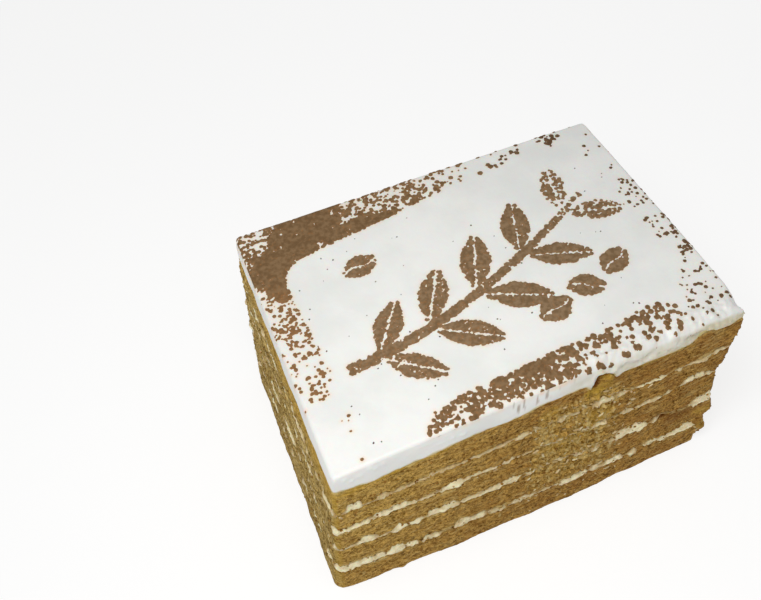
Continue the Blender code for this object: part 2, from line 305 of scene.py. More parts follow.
@dataclass
class Seam:
    """A thin layer of cream: its line round the slice, and where the cream shows."""

    points: tuple
    streaks: tuple[Streak, ...]
    seed: int
    thin: float = 0.3
    ragged: float = 0.5
    step: float = 0.1
    block: Block = field(default_factory=Block)

    def __post_init__(self) -> None:
        """Adds streaks to the three sides that the photo doesn't show well, and finds the edges."""
        self.streaks = (*self.streaks, *self.unseen_streaks())
        self.table = self.edges()

    def unseen_streaks(self) -> list[Streak]:
        """Made-up streaks for the right and the back, and finer ones for the left.

        Returns:
            The streaks in the order of the walk.
        """
        draw = random.Random(self.seed)
        streaks = []
        along = self.block.length + 2
        while along < self.block.round_trip - 4:
            on_left = along > 2 * self.block.length + self.block.width
            longest, tallest = (11, 0.9) if on_left else (19, 1.4)
            dullest, widest_gap = (0.35, 3) if on_left else (0.5, 7)
            length = draw.uniform(0.15, 1) * longest
            low, high = draw.uniform(0.2, 0.85) * tallest, draw.uniform(0.3, 1) * tallest
            middle = self.plain_line(np.array([along + length / 2]))[0]
            pale = draw.uniform(dullest, 1)
            streaks.append(Streak(along, along + length, middle - low, middle + high, pale))
            along += length + draw.uniform(0.5, widest_gap)
        return streaks

    def plain_line(self, along: np.ndarray) -> np.ndarray:
        """The height of the seam's line without its ripples."""
        walks, heights = zip(*self.points, (self.block.round_trip, self.points[0][1]))
        return np.interp(np.mod(along, self.block.round_trip), walks, heights)

    def edges(self) -> tuple[np.ndarray, ...]:
        """The cream's lower and upper edge, at close steps of a walk round the block.

        Returns:
            The distances walked, the two heights and how pale the cream is.
        """
        trip, half_thin = self.block.round_trip, self.thin / 2
        walked = np.arange(0, trip, self.step)
        flat = in_plan(walked, 0 * walked)
        line = self.plain_line(walked) + 0.18 * ripple(flat, 6, self.seed)
        line = line + 0.1 * ripple(flat, 2.1, self.seed + 1)
        low, high = line - half_thin, line + half_thin
        pale = np.zeros_like(line)
        wavering = 0.5 * ripple(flat, 1.1, self.seed + 4, 2)
        for streak in self.streaks:
            middle, half = (streak.start + streak.end) / 2, (streak.end - streak.start) / 2
            gap = np.abs(np.mod(walked - middle + trip / 2, trip) - trip / 2) - half
            shown = 1 - smooth_step(-1.3, 0.8, gap + wavering)
            low = np.minimum(low, line + (streak.low - line) * shown)
            high = np.maximum(high, line + (streak.high - line) * shown)
            pale = np.maximum(pale, streak.pale * shown)
        torn = np.clip((high - low - self.thin) / 0.8, 0, 1) * self.ragged
        frayed_low = ripple(flat, 1.7, self.seed + 2, 3) + 0.9 * ripple(flat, 0.8, self.seed + 5, 2)
        frayed_high = ripple(flat, 1.5, self.seed + 3, 3) + 0.9 * ripple(flat, 0.7, self.seed + 6, 2)
        low = np.minimum(low + torn * frayed_low, line - half_thin)
        high = np.maximum(high + torn * frayed_high, line + half_thin)
        return walked, low, high, pale

    def low(self, along: np.ndarray) -> np.ndarray:
        """The cream's lower edge after a walk round the block."""
        return np.interp(along, self.table[0], self.table[1], period=self.block.round_trip)

    def high(self, along: np.ndarray) -> np.ndarray:
        """The cream's upper edge after a walk round the block."""
        return np.interp(along, self.table[0], self.table[2], period=self.block.round_trip)

    def pale(self, along: np.ndarray) -> np.ndarray:
        """How pale the cream is after a walk round the block."""
        return np.interp(along, self.table[0], self.table[3], period=self.block.round_trip)


@dataclass(frozen=True)
class Cut:
    """How the knife left the sides: crumb relief, lumps, holes and the ragged right edge."""

    coarse: float = 0.2
    crumb: float = 0.2
    fine: float = 0.15
    groove: float = 0.12
    torn_from: float = 49.0
    torn_to: float = 73.0
    torn_gain: float = 1.9
    knobs: tuple[Spot, ...] = (
        Spot(50.3, 31, 0.5, 10, 0.4),
        Spot(65.6, 51.4, 1.9, 1.7, 0.9),
        Spot(62.3, 52, 0.6, 2.2, -1.0),
        Spot(85.9, 21.0, 1.5, 1.4, -1.6),
        Spot(90, 20.6, 2.0, 1.0, -0.5),
        Spot(16.8, 0.6, 1.1, 1.2, 0.6),
        Spot(98.5, 8, 2.0, 2.6, 1.0),
        Spot(58, 35.6, 2.6, 0.7, -0.7),
        Spot(52.3, 35.2, 1.6, 0.5, -0.6),
        Spot(66, 37.6, 3.6, 0.5, -0.6),
        Spot(56, 25.4, 3.0, 0.6, -0.6),
    )
    right_edge: tuple = (
        (0, -0.6), (2.6, -0.6), (3.6, 1.6), (4.6, 2.0), (10, 0), (12.5, -0.3), (14, 1.6), (19.8, 0),
        (24, -0.5), (30, -1.2), (33.4, -1.6), (35.6, -0.3), (42, 0.4), (49, 0.9), (52, 0.7),
        (53.5, 0.2), (57, -0.4),
    )

    def torn(self, wall: Wall) -> np.ndarray:
        """How roughly the middle of the front is torn instead of cut.

        Args:
            wall: The points to read.

        Returns:
            A share for each point.
        """
        torn = smooth_step(self.torn_from - 2, self.torn_from + 1, wall.along)
        torn = torn * (1 - smooth_step(self.torn_to - 6, self.torn_to, wall.along))
        torn = torn * smooth_step(9, 15, wall.z) * (1 - smooth_step(44, 49, wall.z))
        return torn * wall.front

    def relief(self, wall: Wall) -> np.ndarray:
        """How far torn sponge stands out of the cut.

        Args:
            wall: The points to read.

        Returns:
            The distances outward.
        """
        points, torn = wall.points, self.torn(wall)
        drawn_out = points * (0.12, 0.12, 1.6)
        corner = smooth_step(0.25, 0.6, np.minimum(np.abs(wall.out_x), np.abs(wall.out_y)))
        gain = 1 + self.torn_gain * torn
        gain = gain * (1 - 0.5 * corner) * (0.4 + 0.6 * smooth_step(0.2, 2.5, wall.z))
        gain = gain * (1 - 0.35 * wall.front * smooth_step(70, 80, wall.along))
        out = self.coarse * ripple(points, 6.5, 1) + self.crumb * gain * ripple(points, 1.7, 2)
        out += self.fine * gain * ripple(points * (0.7, 0.7, 1), 0.6, 3)
        out += self.groove * (1 - torn) * ripple(drawn_out, 1, 4)
        for knob in self.knobs:
            out += wall.front * knob.amount * np.exp(-knob.far(wall))
        return out

    def edge(self, x: np.ndarray, y: np.ndarray, z: np.ndarray) -> np.ndarray:
        """How far the right side's ragged front edge stands out to the right.

        Args:
            x: Measures to the right.
            y: Measures to the back.
            z: Heights.

        Returns:
            The distances.
        """
        heights, shifts = zip(*self.right_edge)
        near = smooth_step(90, 98, x) * (1 - smooth_step(5, 20, y))
        return near * np.interp(z, heights, shifts)


def new_object(name: str, bm: bmesh.types.BMesh, nodes: tuple[str, ...]) -> bpy.types.Object:
    """Turns a bmesh into a smooth piece that rides on the slice.

    Args:
        name: The piece's name.
        bm: Its mesh, which is freed.
        nodes: The nodes it stands for.

    Returns:
        The new object.
    """
    mesh = bpy.data.meshes.new(name)
    bm.to_mesh(mesh)
    bm.free()
    mesh.shade_smooth()
    piece = bpy.data.objects.new(name, mesh)
    bpy.context.scene.collection.objects.link(piece)
    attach(piece, BODY)
    if nodes:
        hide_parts(*nodes)
    return piece


def coordinates(mesh: bpy.types.Mesh) -> np.ndarray:
    """Reads a mesh's points.

    Args:
        mesh: The mesh.

    Returns:
        One row for each point.
    """
    flat = np.empty(3 * len(mesh.vertices))
    mesh.vertices.foreach_get("co", flat)
    return flat.reshape(-1, 3)


def set_coordinates(mesh: bpy.types.Mesh, points: np.ndarray) -> None:
    """Moves a mesh's points."""
    mesh.vertices.foreach_set("co", points.ravel())
    mesh.update()


def set_attribute(mesh: bpy.types.Mesh, name: str, values: np.ndarray) -> None:
    """Stores one number for each point of a mesh, for its material to read."""
    layer = mesh.attributes.new(name, "FLOAT", "POINT")
    layer.data.foreach_set("value", np.asarray(values, float))


def grow_rows(bm: bmesh.types.BMesh, edges: list, rows: int, step: Vector) -> list:
    """Extrudes a loop of edges row by row.

    Args:
        bm: The mesh.
        edges: The loop to start from.
        rows: How many rows to add.
        step: How far each row goes.

    Returns:
        The last row's loop.
    """
    for _ in range(rows):
        grown = bmesh.ops.extrude_edge_only(bm, edges=edges)["geom"]
        verts = {part for part in grown if isinstance(part, bmesh.types.BMVert)}
        edges = [
            part
            for part in grown
            if isinstance(part, bmesh.types.BMEdge) and set(part.verts) <= verts
        ]
        bmesh.ops.translate(bm, verts=list(verts), vec=step)
    return edges


def close_end(bm: bmesh.types.BMesh, edges: list) -> None:
    """Closes a loop of edges with a fan."""
    face = bmesh.ops.contextual_create(bm, geom=edges)["faces"]
    bmesh.ops.poke(bm, faces=face)


def unit_drum(block: Block, points: int, rows: int) -> bmesh.types.BMesh:
    """A closed wall round the unit square, one high, whose rows a layer is shaped from.

    Args:
        block: The block whose sides set how the points are spaced.
        points: How many points go round.
        rows: How many rows go up.

    Returns:
        The mesh.
    """
    bm = bmesh.new()
    ring = bmesh.ops.create_circle(bm, segments=points, radius=1)["verts"]
    start = list(bm.edges)
    u, v = block.rim(np.arange(points) * block.round_trip / points)
    for vert, right, back in zip(ring, u, v):
        vert.co = right, back, 0
    top = grow_rows(bm, start, rows, Vector((0, 0, 1 / rows)))
    close_end(bm, start)
    close_end(bm, top)
    bmesh.ops.recalc_face_normals(bm, faces=bm.faces)
    return bm


def unit_sheet(block: Block, spacing: float, height: float) -> bmesh.types.BMesh:
    """A flat grid over the unit square, which the icing and the cocoa are shaped from.

    Args:
        block: The block whose top it will cover.
        spacing: How far apart its points will lie there.
        height: The height it starts at.

    Returns:
        The mesh.
    """
    bm = bmesh.new()
    across, back = round(block.length / spacing), round(block.width / spacing)
    bmesh.ops.create_grid(bm, x_segments=across, y_segments=back, size=0.5)
    bmesh.ops.translate(bm, verts=bm.verts, vec=Vector((0.5, 0.5, height)))
    return bm


class Graph:
    """A node tree with short calls for the nodes that the finishes use."""

    def __init__(self, tree: bpy.types.NodeTree) -> None:
        """Holds the tree to add to."""
        self.tree = tree

    def add(self, kind: str, **settings: object) -> bpy.types.Node:
        """Adds a node.

        Args:
            kind: Its type.
            settings: The settings to make on it.

        Returns:
            The node.
        """
        node = self.tree.nodes.new(kind)
        for key, value in settings.items():
            setattr(node, key, value)
        return node

    def link(self, source: Socket, target: Socket) -> None:
        """Joins two sockets."""
        self.tree.links.new(source, target)

    def feed(self, value: object, target: Socket) -> None:
        """Gives an input its value.

        Args:
            value: A socket to link, or a plain value to set.
            target: The input.
        """
        if isinstance(value, Socket):
            self.link(value, target)
        else:
            target.default_value = value

    def math(self, operation: str, *values: object, kind: str = "ShaderNodeMath") -> Socket:
        """Works on numbers, or on vectors with the vector kind of node.

        Args:
            operation: What to do with them.
            values: Sockets or plain values.
            kind: The type of node.

        Returns:
            The result.
        """
        node = self.add(kind, operation=operation)
        for value, target in zip(values, node.inputs):
            self.feed(value, target)
        return node.outputs[0]

    def noise(self, vector: Socket, scale: object, detail: float, roughness: float) -> Socket:
        """Reads a noise texture.

        Args:
            vector: Where to read it.
            scale: How fine it is, as a socket or a number.
            detail: How many finer patterns it has.
            roughness: How strong those are.

        Returns:
            Its value.
        """
        node = self.add("ShaderNodeTexNoise")
        settings = {"Vector": vector, "Scale": scale, "Detail": detail, "Roughness": roughness}
        for key, value in settings.items():
            self.feed(value, node.inputs[key])
        return node.outputs[0]

    def ramp(self, value: Socket, low: float, high: float) -> Socket:
        """Makes a smooth mask of a value.

        Args:
            value: The value.
            low: Where the mask is 0.
            high: Where it is 1.

        Returns:
            The mask.
        """
        node = self.add("ShaderNodeMapRange", interpolation_type="SMOOTHSTEP")
        for key, given in {"Value": value, "From Min": low, "From Max": high}.items():
            self.feed(given, node.inputs[key])
        return node.outputs[0]

    def mix(self, share: Socket, first: object, second: object) -> Socket:
        """Mixes two colours.

        Args:
            share: How much of the second to take.
            first: A colour or a socket.
            second: The other.

        Returns:
            The mixed colour.
        """
        node = self.add("ShaderNodeMix", data_type="RGBA")
        for value, index in ((share, 0), (first, 6), (second, 7)):
            self.feed(value, node.inputs[index])
        return node.outputs[2]

    def coat(self, paint: Socket, share: Socket, gain: object, over: object) -> Socket:
        """Lays a colour over the paint, as strongly as a share times a gain."""
        return self.mix(self.math("MULTIPLY", share, gain), paint, over)

    def attribute(self, name: str) -> Socket:
        """A number that the piece's own points hold."""
        return self.add("ShaderNodeAttribute", attribute_name=name).outputs["Fac"]

    def place_group(
        self, tree: bpy.types.NodeTree, vector: Socket, **values: float
    ) -> bpy.types.NodeOutputs:
        """Places a shared group.

        Args:
            tree: The group.
            vector: Where to read it.
            values: Its inputs by name.

        Returns:
            Its outputs by name.
        """
        node = self.add("ShaderNodeGroup", node_tree=tree)
        for key, value in {"Vector": vector, **values}.items():
            self.feed(value, node.inputs[key])
        return node.outputs

    def bump(self, height: Socket, depth: float, strength: float) -> Socket:
        """Makes a normal from a height.

        Args:
            height: The height, from 0 to about 1.
            depth: What a height of 1 measures, in metres.
            strength: How much of the relief to take.

        Returns:
            The normal.
        """
        node = self.add("ShaderNodeBump")
        for key, value in {"Height": height, "Distance": depth, "Strength": strength}.items():
            self.feed(value, node.inputs[key])
        return node.outputs[0]


def colour(red: int, green: int, blue: int) -> tuple[float, ...]:
    """Turns a screen colour into a linear one.

    Args:
        red: Its red part, from 0 to 255.
        green: Its green part.
        blue: Its blue part.

    Returns:
        The linear parts from 0 to 1, and a full alpha.
    """
    parts = [part / 255 for part in (red, green, blue)]
    straight_to = 0.0425
    linear = (p / 12.92 if p < straight_to else ((p + 0.055) / 1.055) ** 2.4 for p in parts)
    return (*linear, 1.0)


def new_material(name: str) -> tuple[bpy.types.Material, Graph, bpy.types.Node, Socket]:
    """Starts a material.

    Args:
        name: Its name.

    Returns:
        The material, its graph, its Principled shader and its Object coordinates.
    """
    material = bpy.data.materials.new(name)
    material.use_nodes = True
    graph = Graph(material.node_tree)
    shader = material.node_tree.nodes["Principled BSDF"]
    return material, graph, shader, graph.add("ShaderNodeTexCoord").outputs["Object"]


class Shades:
    """The shader node groups that several finishes share, each built once."""

    def begin(self, name: str, inputs: dict[str, float], outputs: tuple[str, ...]) -> tuple:
        """Starts a node group with named sockets.

        Args:
            name: The group's name.
            inputs: Each number input and its usual value, besides the Vector input.
            outputs: The number outputs.

        Returns:
            The graph to fill, what it is given by name and what it has to make by name.
        """
        tree = bpy.data.node_groups.new(name, "ShaderNodeTree")
        tree.interface.new_socket("Vector", in_out="INPUT", socket_type="NodeSocketVector")
        for key, value in inputs.items():
            made = tree.interface.new_socket(key, in_out="INPUT", socket_type="NodeSocketFloat")
            made.default_value = value
        for key in outputs:
            tree.interface.new_socket(key, in_out="OUTPUT", socket_type="NodeSocketFloat")
        graph = Graph(tree)
        return graph, graph.add("NodeGroupInput").outputs, graph.add("NodeGroupOutput").inputs

    @cached_property
    def grain(self) -> bpy.types.NodeTree:
        """Fine crumb: its height, its tone, and masks of its pores and pale specks.

        Returns:
            The group.
        """
        outputs = ("Height", "Tone", "Pores", "Specks")
        graph, given, made = self.begin("crumb grain", {"Scale": 900.0, "Drag": 1.0}, outputs)
        scale = given["Scale"]
        stretch = graph.add("ShaderNodeCombineXYZ")
        for value, target in zip((given["Drag"], given["Drag"], 1.0), stretch.inputs):
            graph.feed(value, target)
        vector = graph.math(
            "MULTIPLY", given["Vector"], stretch.outputs[0], kind="ShaderNodeVectorMath"
        )
        cells = graph.add("ShaderNodeTexVoronoi")
        graph.link(vector, cells.inputs["Vector"])
        graph.link(scale, cells.inputs["Scale"])
        rough = graph.noise(vector, scale, detail=6, roughness=0.65)
        holes = graph.noise(vector, graph.math("MULTIPLY", scale, 0.6), detail=4, roughness=0.7)
        tone = graph.noise(vector, graph.math("MULTIPLY", scale, 0.66), detail=6, roughness=0.9)
        height = graph.math("MULTIPLY_ADD", cells.outputs["Distance"], -0.5, rough)
        graph.link(height, made["Height"])
        graph.link(graph.ramp(tone, 0.41, 0.58), made["Tone"])
        graph.link(graph.ramp(holes, 0.42, 0.32), made["Pores"])
        graph.link(graph.ramp(rough, 0.56, 0.7), made["Specks"])
        return graph.tree

    @cached_property
    def drag(self) -> bpy.types.NodeTree:
        """Marks that a blade drew along the cut, as a mask.

        Returns:
            The group.
        """
        graph, given, made = self.begin("knife drag", {"Scale": 900.0, "Slope": 0.1}, ("Marks",))
        parts = graph.add("ShaderNodeSeparateXYZ")
        graph.link(given["Vector"], parts.inputs[0])
        flat = graph.add("ShaderNodeCombineXYZ")
        for key in "XY":
            graph.link(graph.math("MULTIPLY", parts.outputs[key], 0.13), flat.inputs[key])
        tilt = graph.math("MULTIPLY", parts.outputs["X"], given["Slope"])
        graph.link(graph.math("SUBTRACT", parts.outputs["Z"], tilt), flat.inputs["Z"])
        lines = graph.noise(flat.outputs[0], given["Scale"], detail=4, roughness=0.6)
        graph.link(graph.ramp(lines, 0.5, 0.68), made["Marks"])
        return graph.tree

    @cached_property
    def mottle(self) -> bpy.types.NodeTree:
        """Soft, uneven variation, as a mask with as much of it light as dark.

        Returns:
            The group.
        """
        graph, given, made = self.begin("mottle", {"Scale": 120.0}, ("Mask",))
        cloud = graph.noise(given["Vector"], given["Scale"], detail=4, roughness=0.55)
        graph.link(graph.ramp(cloud, 0.35, 0.65), made["Mask"])
        return graph.tree


@dataclass(frozen=True)
class Finish:
    """What every finish has: how rough, glossy and soft it is, and how deep its fine relief."""

    roughness: float = 0.9
    specular: float = 0.5
    softness: float = 0.0
    soft_depth: float = 1.0
    relief: float = 0.1
    relief_strength: float = 0.6

    def paint(self, graph: Graph, place: Socket, shades: Shades) -> tuple:
        """Builds what changes over the surface, which each finish does its own way.

        Args:
            graph: The material's graph.
            place: The Object coordinates.
            shades: The shared node groups.

        Returns:
            The colour, the height of the relief, and the roughness.
        """
        raise NotImplementedError

    def material(self, name: str, shades: Shades) -> bpy.types.Material:
        """Builds the material.

        Args:
            name: Its name.
            shades: The shared node groups.

        Returns:
            The material.
        """
        material, graph, shader, place = new_material(name)
        colours, height, rough = self.paint(graph, place, shades)
        normal = graph.bump(height, self.relief * MM, self.relief_strength)
        settings = {
            "Base Color": colours,
            "Roughness": rough,
            "Normal": normal,
            "Specular IOR Level": self.specular,
            "Subsurface Weight": self.softness,
            "Subsurface Scale": self.soft_depth * MM,
        }
        for key, value in settings.items():
            graph.feed(value, shader.inputs[key])
        return material


@dataclass(frozen=True)
class SpongeFinish(Finish):
    """Golden sponge crumb: light and dark, pores, what it is smeared or soaked with, and painted shade
    and highlight.
    """

    light: tuple = colour(203, 156, 78)
    dark: tuple = colour(105, 69, 8)
    tan: tuple = colour(158, 104, 46)
    pore: tuple = colour(82, 47, 4)
    speck: tuple = colour(214, 178, 104)
    smear: tuple = colour(228, 201, 132)
    fresh_light: tuple = colour(247, 207, 114)
    fresh_dark: tuple = colour(140, 103, 26)
    # Soaked golden, also the painted highlight along the front left corner.
    golden: tuple = colour(204, 164, 62)
    # Soaked brown, also painted shade in a hole and under the icing's notch.
    brown: tuple = colour(116, 68, 18)
    moist_light: tuple = colour(200, 174, 106)
    moist_dark: tuple = colour(88, 70, 20)
    roughness: float = 0.92
    specular: float = 0.12
    relief: float = 0.7
    relief_strength: float = 1.0

    def paint(self, graph: Graph, place: Socket, shades: Shades) -> tuple:
        """Builds crumb in three tones, dragged, given its stains with painted shade and a painted
        highlight, and then pitted.

        Args:
            graph: The material's graph.
            place: The Object coordinates.
            shades: The shared node groups.

        Returns:
            The colour, the height of the relief, and the roughness.
        """
        hue = graph.place_group(shades.mottle, place, Scale=210.0)
        grain = graph.place_group(shades.grain, place, Scale=1900.0, Drag=0.6)
        marks = graph.place_group(shades.drag, place, Scale=1300.0, Slope=0.12)["Marks"]
        tone = grain["Tone"]
        fresh = graph.mix(tone, self.fresh_dark, self.fresh_light)
        moist = graph.mix(tone, self.moist_dark, self.moist_light)
        paint = graph.mix(tone, self.dark, self.light)
        paint = graph.coat(paint, hue["Mask"], 0.35, self.tan)
        paint = graph.coat(paint, graph.attribute("fresh"), 0.8, fresh)
        paint = graph.coat(paint, graph.attribute("moist"), 0.6, moist)
        dragged = graph.math("MULTIPLY_ADD", graph.attribute("moist"), 0.6, 0.35)
        paint = graph.coat(paint, marks, dragged, self.smear)
        stains_and_light = {StainAndPaintedLight.GOLDEN: self.golden, StainAndPaintedLight.BROWN: self.brown, StainAndPaintedLight.CREAM: self.smear}
        for stain_and_light, shade in stains_and_light.items():
            paint = graph.mix(graph.attribute(stain_and_light.value), paint, shade)
        paint = graph.coat(paint, grain["Specks"], 0.6, self.speck)
        paint = graph.coat(paint, grain["Pores"], 0.8, self.pore)
        return paint, grain["Height"], self.roughness


@dataclass(frozen=True)
class CreamFinish(Finish):
    """Cream with crumb dragged into it, tan where it is thin."""

    thick: tuple = colour(255, 244, 200)
    thin: tuple = colour(178, 144, 78)
    crumb: tuple = colour(140, 106, 52)
    roughness: float = 0.55
    softness: float = 0.15
    relief: float = 0.3

    def paint(self, graph: Graph, place: Socket, shades: Shades) -> tuple:
        """Builds cream that is paler where it is thick.

        Args:
            graph: The material's graph.
            place: The Object coordinates.
            shades: The shared node groups.

        Returns:
            The colour, the height of the relief, and the roughness.
        """
        grain = graph.place_group(shades.grain, place, Scale=1100.0, Drag=0.6)
        mottle = graph.place_group(shades.mottle, place, Scale=500.0)
        uneven = graph.math("MULTIPLY_ADD", mottle["Mask"], 0.5, 0.76)
        body = graph.math("MULTIPLY", graph.attribute("body"), uneven)
        paint = graph.mix(body, self.thin, self.thick)
        paint = graph.coat(paint, grain["Tone"], 0.2, self.thin)
        paint = graph.coat(paint, grain["Pores"], 0.7, self.crumb)
        return paint, grain["Height"], self.roughness


@dataclass(frozen=True)
class IcingFinish(Finish):
    """White whipped icing, warm round the cocoa and yellow where it touches sponge."""

    white: tuple = colour(238, 238, 234)
    shade: tuple = colour(230, 231, 227)
    halo: tuple = colour(242, 208, 166)
    grease: tuple = colour(206, 184, 104)
    warm: tuple = colour(206, 199, 172)
    drip: tuple = colour(146, 124, 98)
    roughness: float = 0.42
    softness: float = 0.2
    soft_depth: float = 1.5
    relief: float = 0.06
    relief_strength: float = 0.5

    def paint(self, graph: Graph, place: Socket, shades: Shades) -> tuple:
        """Builds soft white, stained where the slab's own numbers say.

        Args:
            graph: The material's graph.
            place: The Object coordinates.
            shades: The shared node groups.

        Returns:
            The colour, the height of the relief, and the roughness.
        """
        mottle = graph.place_group(shades.mottle, place, Scale=60.0)
        grain = graph.place_group(shades.grain, place, Scale=700.0, Drag=1.0)
        paint = graph.mix(mottle["Mask"], self.shade, self.white)
        stains = {"warm": self.warm, "halo": self.halo, "drip": self.drip, "grease": self.grease}
        for name, shade in stains.items():
            paint = graph.mix(graph.attribute(name), paint, shade)
        return paint, grain["Height"], graph.math("MULTIPLY_ADD", mottle["Mask"], 0.1, self.roughness)


@dataclass(frozen=True)
class CocoaFinish(Finish):
    """Matt cocoa powder, lighter and redder where it thins out."""

    deep: tuple = colour(112, 86, 57)
    light: tuple = colour(134, 107, 76)
    edge: tuple = colour(152, 108, 66)
    burnt: tuple = colour(58, 48, 46)
    roughness: float = 0.97
    specular: float = 0.15
    relief: float = 0.12

    def paint(self, graph: Graph, place: Socket, shades: Shades) -> tuple:
        """Builds mottled powder with its thin edges and its burnt specks.

        Args:
            graph: The material's graph.
            place: The Object coordinates.
            shades: The shared node groups.

        Returns:
            The colour, the height of the relief, and the roughness.
        """
        mottle = graph.place_group(shades.mottle, place, Scale=900.0)
        grain = graph.place_group(shades.grain, place, Scale=3200.0, Drag=1.0)
        paint = graph.mix(mottle["Mask"], self.deep, self.light)
        for name, shade in {"edge": self.edge, "burnt": self.burnt}.items():
            paint = graph.mix(graph.attribute(name), paint, shade)
        return paint, grain["Height"], self.roughness


def lapped(line: Line, lap: float) -> Line:
    """A line moved up by a lap, so that neighbours meet without a gap."""
    return lambda along: line(along) + lap


